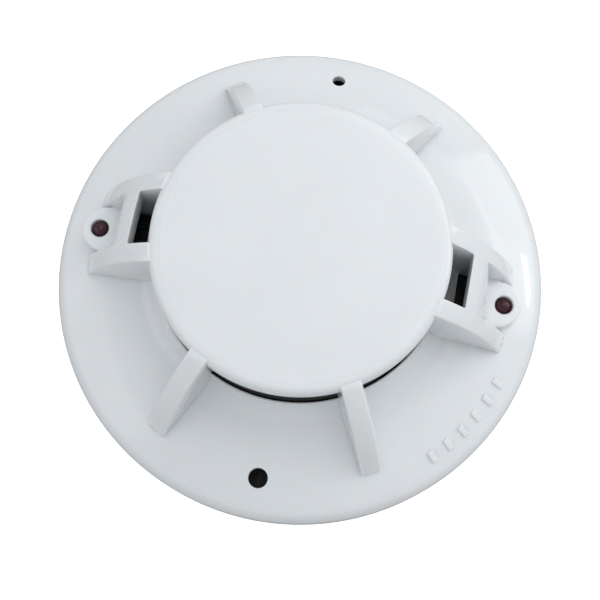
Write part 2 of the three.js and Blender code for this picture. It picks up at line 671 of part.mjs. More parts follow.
const BOARD_PARTS = [
  ['controller_chip', 'epoxy', partRing - 1.7, 0, 90, chip(9.9, 6, 1.6)],
  ['smoothing_capacitor', 'sleeve', partRing + 0.3, 120, 0, canCapacitor(3.15, 7)],
  ['timing_capacitor', 'sleeve', partRing + 3.8, 75, 0, canCapacitor(2, 5)],
  ['latch_transistor', 'epoxy', partRing - 0.7, 180, -90, halfRoundPack(2.3, 4.8)],
  ['bridge_rectifier', 'epoxy', partRing - 0.2, 230, 20, chip(6.4, 4.6, 2.6)],
  ['surge_diode', 'epoxy', partRing + 2.3, 282, 15, lyingTube(1.35, 5.2)],
  ['reference_thermistor', 'bead', partRing + 3.8, 35, 35, lyingTube(1.2, 3.4)],
];

piece(head, 'circuit_board', circuitBoard(), 'board');
for (const [name, finish, r, at, turn, shape] of BOARD_PARTS) {
  piece(head, name, moved(spun(shape, turn), r, at, boardTop + TOUCH_GAP), finish);
}
// The reed switch hangs under the board, near the wall where the test magnet is held.
piece(head, 'reed_switch', moved(spun(lyingTube(REED_R, REED_LENGTH), REED_ANGLE + 90),
  boardR - REED_INSET, REED_ANGLE, boardBottom - TOUCH_GAP - 2 * REED_R), 'glassTube');

// ---- Shields: a black block that closes the opening under each slot, with a foot on the board ---
function slotShield() {
  const half = SLOT_HALF - HOLE_GAP;
  const low = boardTop + TOUCH_GAP;
  const outer = armHollow - HOLE_GAP;
  const plugInner = Math.max(slotFoot, boardR) + HOLE_GAP;
  const foot = block(Math.min(slotFoot, outer) - SHIELD_FOOT, outer, half, low, low + SHIELD_FOOT_THICK);
  if (plugInner > outer - SHIELD_FOOT) return foot;
  return foot.add(block(plugInner, outer, half, low - SHIELD_DEPTH, low + SHIELD_RISE));
}

ARM_ANGLES.forEach((degrees, i) => {
  piece(head, `slot_shield_${['right', 'left'][i]}`, slotShield(), 'blackPlastic', degrees);
});

// ---- Sensing chamber: thermistor on its post, insect screen and cage ----------------------------
function thermistorPost() {
  const post = disc(THERMISTOR_POST_R, 0, THERMISTOR_POST_H);
  const bore = disc(LEAD_R + HOLE_GAP, -THROUGH, THERMISTOR_POST_H + THROUGH, 8);
  return cut(post, [-1, 1].map((side) => bore.translate([0, side * LEAD_PITCH / 2, 0])))
    .translate([0, 0, boardTop + TOUCH_GAP]);
}

function thermistorBead() {
  const side = arc([0, 0], THERMISTOR_R, -60, 75, 8).map(([x, z]) => [x, z * THERMISTOR_LONG]);
  return turned([[0, -beadHalf], ...side, [0, beadHalf]])
    .translate([0, 0, cageRoof - THERMISTOR_DROP]);
}

function thermistorLead(side) {
  const y = side * LEAD_PITCH / 2;
  const beadFoot = cageRoof - THERMISTOR_DROP - beadHalf - TOUCH_GAP;
  return disc(LEAD_R, boardBottom - LEAD_BEND, beadFoot, 8).translate([0, y, 0]);
}

function sensorCage() {
  const low = collarTop;
  const cup = turned([
    [cageInner, cageBottom],
    [cageFootR, cageBottom],
    [cageFootR, low],
    [cageR, low],
    [cageR, cageTop],
    [0, cageTop],
    [0, cageRoof],
    [cageInner, cageRoof],
  ], HOUSING_SEGMENTS);
  const window = block(cageInner - THROUGH, cageR + THROUGH, CAGE_WINDOW_WIDTH / 2, low,
    cageRoof - CAGE_TOP_THICK / 2);
  const windowAngles = Array.from({ length: CAGE_WINDOWS }, (_, i) => (i + 0.5) * 360 / CAGE_WINDOWS);
  const vent = disc(CAGE_VENT_R, cageRoof - THROUGH, cageTop + THROUGH, 12)
    .translate([cageInner - CAGE_VENT_INSET, 0, 0]);
  const ventAngles = Array.from({ length: CAGE_VENTS }, (_, i) => i * 360 / CAGE_VENTS);
  return cut(cup, [...around(window, windowAngles), ...around(vent, ventAngles)]);
}

piece(head, 'thermistor_post', thermistorPost(), 'backPlastic');
piece(head, 'sensing_thermistor', thermistorBead(), 'bead');
piece(head, 'thermistor_lead_1', thermistorLead(-1), 'tinned');
piece(head, 'thermistor_lead_2', thermistorLead(1), 'tinned');
piece(head, 'insect_screen', ring(screenR - SCREEN_WALL, screenR, collarTop - THROUGH,
  cageRoof - TOUCH_GAP, HOUSING_SEGMENTS), 'steel');
piece(head, 'sensor_cage', sensorCage(), 'blackPlastic');

// ---- Mounting base ------------------------------------------------------------------------------
function fixingSlot() {
  const half = (FIXING_LENGTH - FIXING_WIDTH) / 2;
  const outline = [
    ...arc([baseR - FIXING_INSET, half], FIXING_WIDTH / 2, 0, 180, 8),
    ...arc([baseR - FIXING_INSET, -half], FIXING_WIDTH / 2, 180, 360, 8),
  ];
  return plate(outline, -THROUGH, BASE_FLOOR + THROUGH);
}

function bayonetHook() {
  const half = HOOK_SPAN / 2;
  const inner = hookR - HOOK_DEPTH + LUG_LEG;
  const outer = hookR + BASE_WALL / 2;
  const shelf = sector(inner, outer, -half, half, hookBottom, rimTop);
  const stopTo = -LUG_SPAN / 2 - STOP_CLEARANCE;
  const stop = sector(inner, outer, stopTo - STOP_SPAN, stopTo, BASE_FLOOR / 2, rimTop);
  return shelf.add(stop);
}

function mountingBase() {
  const pad = block(terminalR - PAD[0] / 2, terminalR + PAD[0] / 2, PAD[1] / 2, BASE_FLOOR / 2,
    BASE_FLOOR + PAD[2]);
  const pilot = disc(SCREW_R + HOLE_GAP, SCREW_TIP - TOUCH_GAP, BASE_FLOOR + THROUGH)
    .translate([terminalR, 0, 0]);
  const body = sum([
    disc(baseR, 0, BASE_FLOOR, BASE_SEGMENTS),
    ring(baseR - BASE_WALL, baseR, 0, rimTop, BASE_SEGMENTS),
    ...around(pad, CONTACT_ANGLES),
    ...around(bayonetHook(), HOOK_ANGLES),
  ]);
  return cut(body, [
    disc(CABLE_HOLE_R, -THROUGH, BASE_FLOOR + THROUGH, HOUSING_SEGMENTS),
    ...around(fixingSlot(), FIXING_ANGLES),
    ...around(pilot, CONTACT_ANGLES),
  ]);
}

function cableGrommet() {
  const outer = CABLE_HOLE_R - TOUCH_GAP;
  return turned([
    [outer - GROMMET_WALL, TOUCH_GAP],
    [outer, TOUCH_GAP],
    [outer, BASE_FLOOR + TOUCH_GAP],
    [outer + GROMMET_WALL, BASE_FLOOR + TOUCH_GAP],
    [outer + GROMMET_WALL, GROMMET_H],
    [outer - GROMMET_WALL, GROMMET_H],
  ], HOUSING_SEGMENTS);
}

// ---- Terminals: track plate, square clamp washer and screw --------------------------------------
function terminalPlate() {
  const [length, width] = PLATE_HEAD;
  const head = block(terminalR - length / 2, terminalR + length / 2, width / 2, plateBottom, plateTop);
  const [from, to] = PLATE_TAIL_SPAN;
  const inner = bladeR - PLATE_TAIL_WIDTH / 2;
  const outer = bladeR + PLATE_TAIL_WIDTH / 2;
  const joined = Math.min(inner, terminalR + length / 2 - THROUGH / 2);
  const track = sector(joined, outer, from, to, plateBottom, plateTop);
  const hole = disc(SCREW_R + HOLE_GAP, plateBottom - THROUGH, plateTop + THROUGH)
    .translate([terminalR, 0, 0]);
  return head.add(track).subtract(hole);
}

function clampWasher() {
  const half = WASHER_SIZE / 2;
  return block(-half, half, half, washerBottom, washerBottom + WASHER_THICK)
    .subtract(disc(SCREW_R + HOLE_GAP, washerBottom - THROUGH, washerBottom + THROUGH))
    .translate([terminalR, 0, 0]);
}

function terminalScrew() {
  const top = screwHeadBottom + SCREW_HEAD_H;
  const [width, depth] = SCREW_SLOT;
  return turned([
    [0, SCREW_TIP],
    [SCREW_R, SCREW_TIP],
    [SCREW_R, screwHeadBottom],
    [SCREW_HEAD_R, screwHeadBottom],
    [SCREW_HEAD_R, top - SCREW_HEAD_H / 3],
    [SCREW_HEAD_R * 0.8, top],
    [0, top],
  ]).subtract(block(-SCREW_HEAD_R * 2, SCREW_HEAD_R * 2, width / 2, top - depth, top + THROUGH))
    .translate([terminalR, 0, 0]);
}

piece(base, 'mounting_base', mountingBase(), 'backPlastic');
piece(base, 'cable_grommet', cableGrommet(), 'rubber');
CONTACT_ANGLES.forEach((degrees, i) => {
  piece(base, `terminal_plate_${i + 1}`, terminalPlate(), 'brass', degrees);
  piece(base, `clamp_washer_${i + 1}`, clampWasher(), 'steel', degrees);
  piece(base, `terminal_screw_${i + 1}`, terminalScrew(), 'steel', degrees);
});

export default detector;
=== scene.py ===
# %% [markdown]
# A ceiling heat detector lies face up on a pale floor. Its white head is one moulding: a sloping
# flange, a collar, and a shallow dome held over the collar by four thin fins and two wide arms
# that carry the alarm lamps. A black sensing cage stands under the dome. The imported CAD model
# is loaded first, as a fixed frame. Every piece made here takes its place from that frame, in
# metres, so nothing has to be fitted by eye.

# %% Load the frame
import json
from math import asin, atan2, cos, degrees, hypot, pi, radians, sin, sqrt

import bpy
from mathutils import Matrix, Vector

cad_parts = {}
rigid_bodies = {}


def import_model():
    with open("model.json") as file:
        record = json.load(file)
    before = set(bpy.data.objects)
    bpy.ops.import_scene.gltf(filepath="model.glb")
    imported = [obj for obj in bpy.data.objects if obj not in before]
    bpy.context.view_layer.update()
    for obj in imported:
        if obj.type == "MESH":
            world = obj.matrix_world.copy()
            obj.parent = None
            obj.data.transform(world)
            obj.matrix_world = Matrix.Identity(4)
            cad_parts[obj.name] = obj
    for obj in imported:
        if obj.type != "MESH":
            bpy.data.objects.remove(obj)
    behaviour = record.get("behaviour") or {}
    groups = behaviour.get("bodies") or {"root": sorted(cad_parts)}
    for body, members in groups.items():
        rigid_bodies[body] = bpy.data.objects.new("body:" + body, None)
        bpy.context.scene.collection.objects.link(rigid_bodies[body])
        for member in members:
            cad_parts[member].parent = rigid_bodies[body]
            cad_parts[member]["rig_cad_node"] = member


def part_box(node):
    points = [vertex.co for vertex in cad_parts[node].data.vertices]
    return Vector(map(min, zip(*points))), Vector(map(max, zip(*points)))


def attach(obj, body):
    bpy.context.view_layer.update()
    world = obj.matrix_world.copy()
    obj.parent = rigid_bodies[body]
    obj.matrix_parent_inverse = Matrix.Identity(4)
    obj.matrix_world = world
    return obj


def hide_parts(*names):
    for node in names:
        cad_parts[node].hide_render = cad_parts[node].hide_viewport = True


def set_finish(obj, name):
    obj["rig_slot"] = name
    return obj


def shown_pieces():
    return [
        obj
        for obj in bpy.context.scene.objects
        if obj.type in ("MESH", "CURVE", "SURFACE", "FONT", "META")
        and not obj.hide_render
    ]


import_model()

MM = 0.001
MERGE = 0.0005 * MM
scene = bpy.context.scene
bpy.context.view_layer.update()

# %% [markdown]
# The camera comes before any piece. It stands 230 mm away, nearly above the detector and a
# little towards the front, with a slightly long lens. Its axes are worked out from two points and
# a roll, which is plainer than a chain of rotations.

# %% Camera
CAMERA_AT = Vector((10.25, -56.41, 226.66)) * MM
CAMERA_TARGET = Vector((0.70, -3.58, 4.0)) * MM
CAMERA_ROLL = 0.2
LENS = 65.33

forward = (CAMERA_TARGET - CAMERA_AT).normalized()
level = forward.cross(Vector((0, 1, 0))).normalized()
upright = level.cross(forward)
right = cos(CAMERA_ROLL) * level + sin(CAMERA_ROLL) * upright
up = cos(CAMERA_ROLL) * upright - sin(CAMERA_ROLL) * level

camera = bpy.data.objects.new("camera", bpy.data.cameras.new("camera"))
camera.data.lens = LENS
camera.data.sensor_width = 36
camera.data.clip_start = 0.01
camera.matrix_world = Matrix.Translation(CAMERA_AT) @ Matrix((right, up, -forward)).transposed().to_4x4()
scene.collection.objects.link(camera)
scene.camera = camera
print("camera height (mm):", round(camera.location.z / MM, 1))

# %% [markdown]
# The main sizes of the moulding, in millimetres. The outside box comes from the CAD node. The
# radii of its curves repeat the design values, because a fillet can't be read from a box.

# %% Sizes of the moulding
cover_low, cover_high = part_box("front_cover")
COVER_R = cover_high.x / MM
COVER_BOTTOM = cover_low.z / MM
COVER_TOP = cover_high.z / MM
WALL = 2
SKIRT_HEIGHT = 3.6
SHOULDER_R = 4.4
SHOULDER_END = 60
CROWN_END = 80.5
FILLET_R = 5.2
FLANGE_WIDTH = 21.5
COLLAR_R = COVER_R - FLANGE_WIDTH
COLLAR_LIP = 0.7
COLLAR_WALL = 0.5
BORE_R = COLLAR_R - COLLAR_WALL
DOME_R = COLLAR_R - 0.2
AIR_GAP = 8
DOME_EDGE = 3.7
DOME_ROUND = 1.8
FIN_END_R = COVER_R - 7
FIN_BULGE = 1.8
FIN_HALF = 2
ARM_HALF = 8.9
SLOT_HALF = 5.3
TONGUE_RISE = 3
LAMP_R = COVER_R - 9
ARM_HOLLOW = LAMP_R - 6.6
SLOT_OUTER = ARM_HOLLOW - 2.2
SLOT_FOOT = COLLAR_R + 2.7
TONGUE_HALF = 4.6
TONGUE_TIP = LAMP_R + 3.4
FIN_ANGLES = (60, 120, 240, 300)
ARM_ANGLES = (0, 180)
THIRD_ANGLES = (30, 150, 270)
QUARTER_ANGLES = (45, 135, 225, 315)


def polar(radius, angle):
    return radius * cos(radians(angle)), radius * sin(radians(angle))


def arc(centre, radius, start, end, steps):
    points = []
    for i in range(steps + 1):
        x, z = polar(radius, start + (end - start) * i / steps)
        points.append((centre[0] + x, centre[1] + z))
    return points


shoulder_centre = (COVER_R - SHOULDER_R, COVER_BOTTOM + SKIRT_HEIGHT)
shoulder_end = arc(shoulder_centre, SHOULDER_R, 0, SHOULDER_END, 1)[-1]
fillet_x = COLLAR_R + FILLET_R
crown_run = shoulder_end[0] - (fillet_x - FILLET_R * cos(radians(CROWN_END)))
crown_r = crown_run / (cos(radians(SHOULDER_END)) - cos(radians(CROWN_END)))
crown_centre = (shoulder_end[0] - crown_r * cos(radians(SHOULDER_END)),
                shoulder_end[1] - crown_r * sin(radians(SHOULDER_END)))
crown_end = arc(crown_centre, crown_r, SHOULDER_END, CROWN_END, 1)[-1]
fillet_centre = (fillet_x, crown_end[1] + FILLET_R * sin(radians(CROWN_END)))
collar_top = fillet_centre[1] + COLLAR_LIP
dome_bottom = collar_top + AIR_GAP
dome_edge_top = dome_bottom + DOME_EDGE


def flange_height(radius):
    """Height of the flange's outer surface: collar, fillet or crown."""
    if radius < COLLAR_R:
        return collar_top
    if radius < crown_end[0]:
        return fillet_centre[1] - sqrt(max(FILLET_R ** 2 - (fillet_x - radius) ** 2, 0))
    return crown_centre[1] + sqrt(crown_r ** 2 - (radius - crown_centre[0]) ** 2)


tongue_top = flange_height(LAMP_R) + TONGUE_RISE
print("collar top, dome bottom, tongue top (mm):",
      [round(value, 2) for value in (collar_top, dome_bottom, tongue_top)])

# %% [markdown]
# The fins and arms share one top surface, a bowed surface of revolution that falls from the
# dome's rim to the flange. One function gives its height at any radius, and everything that
# must lie on it asks that function.

# %% The bowed surface that fins and arms share
bow_outer = (FIN_END_R, flange_height(FIN_END_R))
bow_inner = (DOME_R, dome_edge_top - DOME_ROUND / 4)
bow_chord = hypot(bow_outer[0] - bow_inner[0], bow_outer[1] - bow_inner[1])
bow_r = (bow_chord ** 2 / 4 + FIN_BULGE ** 2) / (2 * FIN_BULGE)
bow_lean = degrees(atan2(bow_outer[0] - bow_inner[0], bow_inner[1] - bow_outer[1]))
bow_shift = polar(bow_r - FIN_BULGE, bow_lean)
bow_centre = ((bow_outer[0] + bow_inner[0]) / 2 - bow_shift[0],
              (bow_outer[1] + bow_inner[1]) / 2 - bow_shift[1])


def bow_height(radius):
    reach = min(max(radius, DOME_R) - bow_centre[0], bow_r)
    return bow_centre[1] + sqrt(bow_r ** 2 - reach ** 2)


print("bow height at 30, 36, 42 mm:", [round(bow_height(radius), 2) for radius in (30, 36, 42)])

# %% [markdown]
# Small helpers for modelling by operators. An operator acts on whatever is selected, and the
# loaded frame is selected, so each helper clears the selection first. A turned piece starts as
# one point of a circle that is extruded along a profile and spun about the vertical axis.

# %% Modelling helpers
SHARP_ANGLE = 40


def clear_selection():
    for other in bpy.context.selected_objects:
        other.select_set(False)


def make_active(piece):
    clear_selection()
    piece.select_set(True)
    bpy.context.view_layer.objects.active = piece


def edit(piece):
    make_active(piece)
    bpy.ops.object.mode_set(mode="EDIT")
    bpy.ops.mesh.select_all(action="SELECT")


def leave_edit():
    bpy.ops.object.mode_set(mode="OBJECT")


def named(name):
    piece = bpy.context.object
    piece.name = name
    piece.data.name = name
    return piece


def tidy_solid(piece):
    """Merges doubles and points the faces outwards."""
    edit(piece)
    bpy.ops.mesh.remove_doubles(threshold=MERGE)
    bpy.ops.mesh.normals_make_consistent(inside=False)
    leave_edit()


def drawn_line(name, points):
    """A chain of edges through points in millimetres, extruded from a single vertex."""
    clear_selection()
    bpy.ops.mesh.primitive_circle_add(vertices=3, radius=MM, location=(0, 0, 0))
    piece = named(name)
    bpy.ops.object.mode_set(mode="EDIT")
    bpy.ops.mesh.select_all(action="SELECT")
    bpy.ops.mesh.merge(type="CENTER")
    here = Vector(points[0]) * MM
    bpy.ops.transform.translate(value=here)
    for point in points[1:]:
        there = Vector(point) * MM
        bpy.ops.mesh.extrude_region_move(TRANSFORM_OT_translate={"value": there - here})
        here = there
    leave_edit()
    return piece


def turned(name, profile, steps, closed=False):
    """Spins a profile of (radius, height) points in millimetres about the Z axis."""
    points = [(r, 0, z) for r, z in profile]
    piece = drawn_line(name, points + points[:1] if closed else points)
    edit(piece)
    bpy.ops.mesh.remove_doubles(threshold=MERGE)
    bpy.ops.mesh.select_all(action="SELECT")
    bpy.ops.mesh.spin(steps=steps, angle=2 * pi, center=(0, 0, 0), axis=(0, 0, 1))
    leave_edit()
    tidy_solid(piece)
    return piece


def fill(piece):
    """Closes a drawn outline with one face, and leaves it selected in edit mode."""
    edit(piece)
    bpy.ops.mesh.remove_doubles(threshold=MERGE)
    bpy.ops.mesh.select_all(action="SELECT")
    bpy.ops.mesh.edge_face_add()


def slab(name, outline, move):
    """A flat outline of points in millimetres, filled and extruded by a move in millimetres."""
    piece = drawn_line(name, outline + outline[:1])
    fill(piece)
    bpy.ops.mesh.extrude_region_move(
        TRANSFORM_OT_translate={"value": tuple(distance * MM for distance in move)})
    bpy.ops.mesh.select_all(action="SELECT")
    bpy.ops.mesh.normals_make_consistent(inside=False)
    leave_edit()
    return piece


def box_piece(name, low, high):
    """A block between two corners in millimetres, with its place in its mesh."""
    clear_selection()
    low, high = Vector(low) * MM, Vector(high) * MM
    bpy.ops.mesh.primitive_cube_add(size=1, location=(low + high) / 2, scale=high - low)
    piece = named(name)
    bpy.ops.object.transform_apply(location=True, rotation=True, scale=True)
    return piece


def move_mesh(piece, matrix):
    piece.data.transform(matrix)
    piece.data.update()


def turned_copy(piece, angle, name=None):
    """A copy with its own mesh, turned about the detector's axis."""
    copy = piece.copy()
    copy.data = piece.data.copy()
    scene.collection.objects.link(copy)
    if name:
        copy.name = name
        copy.data.name = name
    move_mesh(copy, Matrix.Rotation(radians(angle), 4, "Z"))
    return copy


def ring_of(piece, angles):
    """The piece at each of the angles, as one joined object."""
    copies = [turned_copy(piece, angle) for angle in angles]
    bpy.data.objects.remove(piece)
    return joined(copies)


def joined(pieces):
    clear_selection()
    for piece in pieces:
        piece.select_set(True)
    bpy.context.view_layer.objects.active = pieces[0]
    if len(pieces) > 1:
        bpy.ops.object.join()
    return pieces[0]


def apply_modifiers(piece):
    make_active(piece)
    for modifier in list(piece.modifiers):
        bpy.ops.object.modifier_apply(modifier=modifier.name)


def bevelled(piece, width, segments=3):
    """Rounds every sharp edge."""
    modifier = piece.modifiers.new("round edges", "BEVEL")
    modifier.width = width * MM
    modifier.segments = segments
    modifier.limit_method = "ANGLE"
    modifier.angle_limit = radians(SHARP_ANGLE)
    apply_modifiers(piece)
    return piece


def combined(piece, other, operation):
    """Adds the other solid to the piece or cuts it away, and removes the other."""
    modifier = piece.modifiers.new("combine", "BOOLEAN")
    modifier.operation = operation
    modifier.solver = "EXACT"
    modifier.object = other
    apply_modifiers(piece)
    bpy.data.objects.remove(other)
    return piece


def finish_surface(piece, angle=38):
    make_active(piece)
    bpy.ops.object.shade_smooth_by_angle(angle=radians(angle))
    print(f"{piece.name}: {len(piece.data.polygons)} faces")


# %% [markdown]
# The flange is a thin shell: a short skirt, a rounded shoulder, a gently domed crown, and a
# fillet that sweeps up into the collar. It could be cut from a cylinder, but a moulded shell of
# even wall is exactly what a spun profile gives, and the highlights on it stay clean.

# %% Flange shell
TURNS = 180


def shell_curve(depth, steps):
    """The shell's surface from skirt to collar, or the one that lies depth inside it."""
    shoulder_steps, crown_steps, fillet_steps = steps
    return (arc(shoulder_centre, SHOULDER_R - depth, 0, SHOULDER_END, shoulder_steps)
            + arc(crown_centre, crown_r - depth, SHOULDER_END, CROWN_END, crown_steps)[1:]
            + arc(fillet_centre, FILLET_R + depth, 180 + CROWN_END, 180, fillet_steps)[1:])


lip = 0.35
collar_edge = 0.12
outer_curve = shell_curve(0, (12, 20, 12))
inner_curve = shell_curve(WALL, (6, 10, 6))
flange_profile = (
    [(COVER_R - lip, COVER_BOTTOM), (COVER_R - lip / 4, COVER_BOTTOM + lip / 4),
     (COVER_R, COVER_BOTTOM + lip)]
    + outer_curve
    + [(COLLAR_R, collar_top - collar_edge), (COLLAR_R - collar_edge, collar_top),
       (BORE_R + collar_edge, collar_top), (BORE_R, collar_top - collar_edge)]
    + [(r, z) for r, z in inner_curve[::-1] if r > BORE_R]
    + [(COVER_R - WALL, COVER_BOTTOM)])
cover = turned("front_cover_moulded", flange_profile, TURNS, closed=True)

# %% [markdown]
# The dome is a shallow inverted cup. Its top is a low crown that rolls over a soft rim, and its
# hollow underside fits over the sensing cage. It is spun as well, and joined to the flange
# before the fins, because both meet the fins in the same step.

# %% Dome
rim_centre = (DOME_R - DOME_ROUND, dome_edge_top - DOME_ROUND)
rim_arc = arc(rim_centre, DOME_ROUND, 0, 75, 10)
rim_r, rim_z = rim_arc[-1]
dome_profile = [(0, dome_edge_top - WALL), (COLLAR_R - WALL, dome_edge_top - WALL),
                (COLLAR_R - WALL, dome_bottom), (DOME_R - lip, dome_bottom),
                (DOME_R - lip / 4, dome_bottom + lip / 4), (DOME_R, dome_bottom + lip)]
dome_profile += rim_arc
dome_profile += [(rim_r * share, COVER_TOP - (COVER_TOP - rim_z) * share ** 2)
                 for share in (0.97, 0.93, 0.87, 0.8, 0.7, 0.6, 0.5, 0.4, 0.3, 0.2, 0.1)]
dome_profile += [(0, COVER_TOP)]
dome = turned("dome", dome_profile, TURNS)
cover = joined([cover, dome])
print("flange and dome:", len(cover.data.polygons), "faces")

# %% [markdown]
# A fin is a thin web whose top follows the bow from the dome's rim down to the flange. Its side
# outline is drawn point by point, filled, extruded to its width and rounded. The bottom stays
# inside the flange's wall, so nothing pokes through below.

# %% Fins
INNER_END = COLLAR_R - WALL
fin_radii = [INNER_END + (FIN_END_R - INNER_END) * i / 24 for i in range(25)]


def hidden_foot(radius):
    """A height inside the flange's wall, or just over the cage's foot within the collar."""
    if radius < BORE_R + 0.1:
        return collar_top + 0.05
    return flange_height(radius) - WALL / 2


upper_edge = [(r, -FIN_HALF, bow_height(r)) for r in fin_radii]
lower_edge = [(r, -FIN_HALF, hidden_foot(r)) for r in reversed(fin_radii)]
fin = slab("fin", upper_edge + lower_edge, (0, 2 * FIN_HALF, 0))
bevelled(fin, 0.4, 3)
fins = ring_of(fin, FIN_ANGLES)
print("fins:", len(fins.data.polygons), "faces")

# %% [markdown]
# A lamp arm seen from above is a frame: two side walls, a cross bar, an open slot next to the
# dome and a pocket in front. A line across the arm is extruded outwards in steps to make a flat
# sheet, the faces of slot and pocket are deleted, and the sheet is extruded down. Its top is
# then laid on the bow, which no flat operator can do, so each point is moved in code.

# %% Lamp arms
ACROSS = (-ARM_HALF, -7.1, -SLOT_HALF, -2.65, 0, 2.65, SLOT_HALF, 7.1, ARM_HALF)
POCKET_BACK_TOP = LAMP_R - 5.5
FLAT_LINES = (29.6, 30.9, SLOT_OUTER, 33.3, 34.4, POCKET_BACK_TOP)
OUTER_START = 37
OUTER_LINES = tuple(OUTER_START + (FIN_END_R - OUTER_START) * i / 9 for i in range(10))
ALONG = (INNER_END, BORE_R, DOME_R) + FLAT_LINES + OUTER_LINES

arm = drawn_line("lamp_arm", [(ALONG[0], y, 0) for y in ACROSS])
edit(arm)
for here, there in zip(ALONG, ALONG[1:]):
    bpy.ops.mesh.extrude_region_move(TRANSFORM_OT_translate={"value": ((there - here) * MM, 0, 0)})
leave_edit()
for polygon in arm.data.polygons:
    x, y = polygon.center.x / MM, polygon.center.y / MM
    open_here = x < SLOT_OUTER or x > POCKET_BACK_TOP
    polygon.select = abs(y) < SLOT_HALF and open_here
make_active(arm)
bpy.ops.object.mode_set(mode="EDIT")
bpy.ops.mesh.select_mode(type="FACE")
bpy.ops.mesh.delete(type="FACE")
bpy.ops.mesh.select_mode(type="VERT")
bpy.ops.mesh.select_all(action="SELECT")
bpy.ops.mesh.extrude_region_move(TRANSFORM_OT_translate={"value": (0, 0, -10 * MM)})
bpy.ops.mesh.select_all(action="SELECT")
bpy.ops.mesh.normals_make_consistent(inside=False)
leave_edit()

POCKET_DRAFT = 0.09
BACK_DRAFT = 0.2
INNER_CURVE_END = 29
OUTER_CURVE_START = 36.5
for vertex in arm.data.vertices:
    x, y, is_top = vertex.co.x / MM, vertex.co.y / MM, vertex.co.z > -MM
    in_pocket = x > POCKET_BACK_TOP - 0.1 and abs(y) < SLOT_HALF + 0.1
    if x < INNER_CURVE_END or x > OUTER_CURVE_START:
        x = sqrt(x * x - y * y)
    radius = hypot(x, y)
    z = bow_height(radius) if is_top else hidden_foot(radius)
    if in_pocket and not is_top:
        fall = bow_height(radius) - z
        y -= y / SLOT_HALF * POCKET_DRAFT * fall
        if x < OUTER_CURVE_START:
            x += BACK_DRAFT * fall
    vertex.co = Vector((x, y, z)) * MM
arm.data.update()
bevelled(arm, 0.3, 3)
print("lamp arm:", len(arm.data.polygons), "faces")

# %% [markdown]
# The tongue is the pocket's bright floor. It runs out of the arm, ends in a half circle and
# carries the lamp. Its outline is a drawn line that is filled and extruded, with a soft upper
# edge. It is added to the arm first, so only one finished arm is copied to the other side.

# %% Lamp tongue
tongue_tip = arc((TONGUE_TIP - TONGUE_HALF, 0), TONGUE_HALF, -90, 90, 24)
tongue_low = flange_height(TONGUE_TIP) - WALL / 2
TONGUE_ROOT = 35.6
TONGUE_NECK = 38.6
root_half = SLOT_HALF + 0.5
outline = [(TONGUE_ROOT, -root_half), (TONGUE_NECK, -root_half)]
outline += tongue_tip
outline += [(TONGUE_NECK, root_half), (TONGUE_ROOT, root_half)]
tongue = slab("tongue", [(x, y, tongue_low) for x, y in outline], (0, 0, tongue_top - tongue_low))
for vertex in tongue.data.vertices:
    if vertex.co.z < (tongue_low + 1) * MM:
        radius = min(hypot(vertex.co.x, vertex.co.y) / MM, TONGUE_TIP)
        vertex.co.z = max(vertex.co.z, hidden_foot(radius) * MM)
tongue.data.update()
bevelled(tongue, 0.35, 3)
arm = combined(arm, tongue, "UNION")
arms = ring_of(arm, ARM_ANGLES)
print("both arms:", len(arms.data.polygons), "faces")

# %% [markdown]
# Three bosses stand inside the flange for the case screws, and six plain raised bars mark the
# crown. They are small, so a spun post and a rounded block are enough. All that is added to
# the shell is joined first, and one union makes the moulding a single solid.

# %% Bosses and raised bars
SCREW_AT = 36
BOARD_STANDOFF = 4
BOSS_R = 2.9
housing_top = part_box("circuit_board")[0].z / MM - BOARD_STANDOFF
boss_top = flange_height(SCREW_AT) - 1
boss = turned("boss", [(0, housing_top + 0.2), (BOSS_R, housing_top + 0.2), (BOSS_R, boss_top),
                       (0, boss_top)], 32)
move_mesh(boss, Matrix.Translation((SCREW_AT * MM, 0, 0)))
bosses = ring_of(boss, THIRD_ANGLES)

BAR_R = 45.3
BAR_ANGLES = range(316, 342, 5)
bar = box_piece("raised_bar", (-1.3, -0.62, -0.7), (1.3, 0.62, 0.3))
bevelled(bar, 0.16, 3)
bar_slope = asin((BAR_R - crown_centre[0]) / crown_r)
move_mesh(bar, Matrix.Translation((BAR_R * MM, 0, flange_height(BAR_R) * MM))
          @ Matrix.Rotation(bar_slope, 4, "Y"))
bars = ring_of(bar, BAR_ANGLES)

cover = combined(cover, joined([fins, bosses, bars]), "UNION")
cover = combined(cover, arms, "UNION")
print("moulding after its unions:", len(cover.data.polygons), "faces")

# %% [markdown]
# What is open in the moulding is cut last: the way down under each slot, the bore of each lamp
# with a small lead-in, the screw holes, and the two tool holes of different size. The cutters
# don't touch each other, so they are joined and cut in one step.

# %% Cuts
LAMP_BORE_R = 1.8
LEAD_IN_R = 2.05
COUNTERBORE_R = 2.4
SCREW_HOLE_R = 1.45
TOOL_HOLE_AT = COVER_R - 7.75
opening = box_piece("opening", (SLOT_FOOT, -SLOT_HALF + 0.01, housing_top),
                    (ARM_HOLLOW, SLOT_HALF - 0.01, 25))
lamp_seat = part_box("alarm_lamp_right")[0].z / MM + 1.2
bore = turned("bore", [(0, housing_top), (COUNTERBORE_R, housing_top), (COUNTERBORE_R, lamp_seat),
                       (LAMP_BORE_R, lamp_seat), (LAMP_BORE_R, tongue_top - 0.25),
                       (LEAD_IN_R, tongue_top + 0.02), (LEAD_IN_R, tongue_top + 2),
                       (0, tongue_top + 2)], 48)
move_mesh(bore, Matrix.Translation((LAMP_R * MM, 0, 0)))
screw_hole = turned("screw_hole", [(0, housing_top - 1), (SCREW_HOLE_R, housing_top - 1),
                                   (SCREW_HOLE_R, housing_top + 5.6), (0, housing_top + 5.6)], 24)
move_mesh(screw_hole, Matrix.Translation((SCREW_AT * MM, 0, 0)))


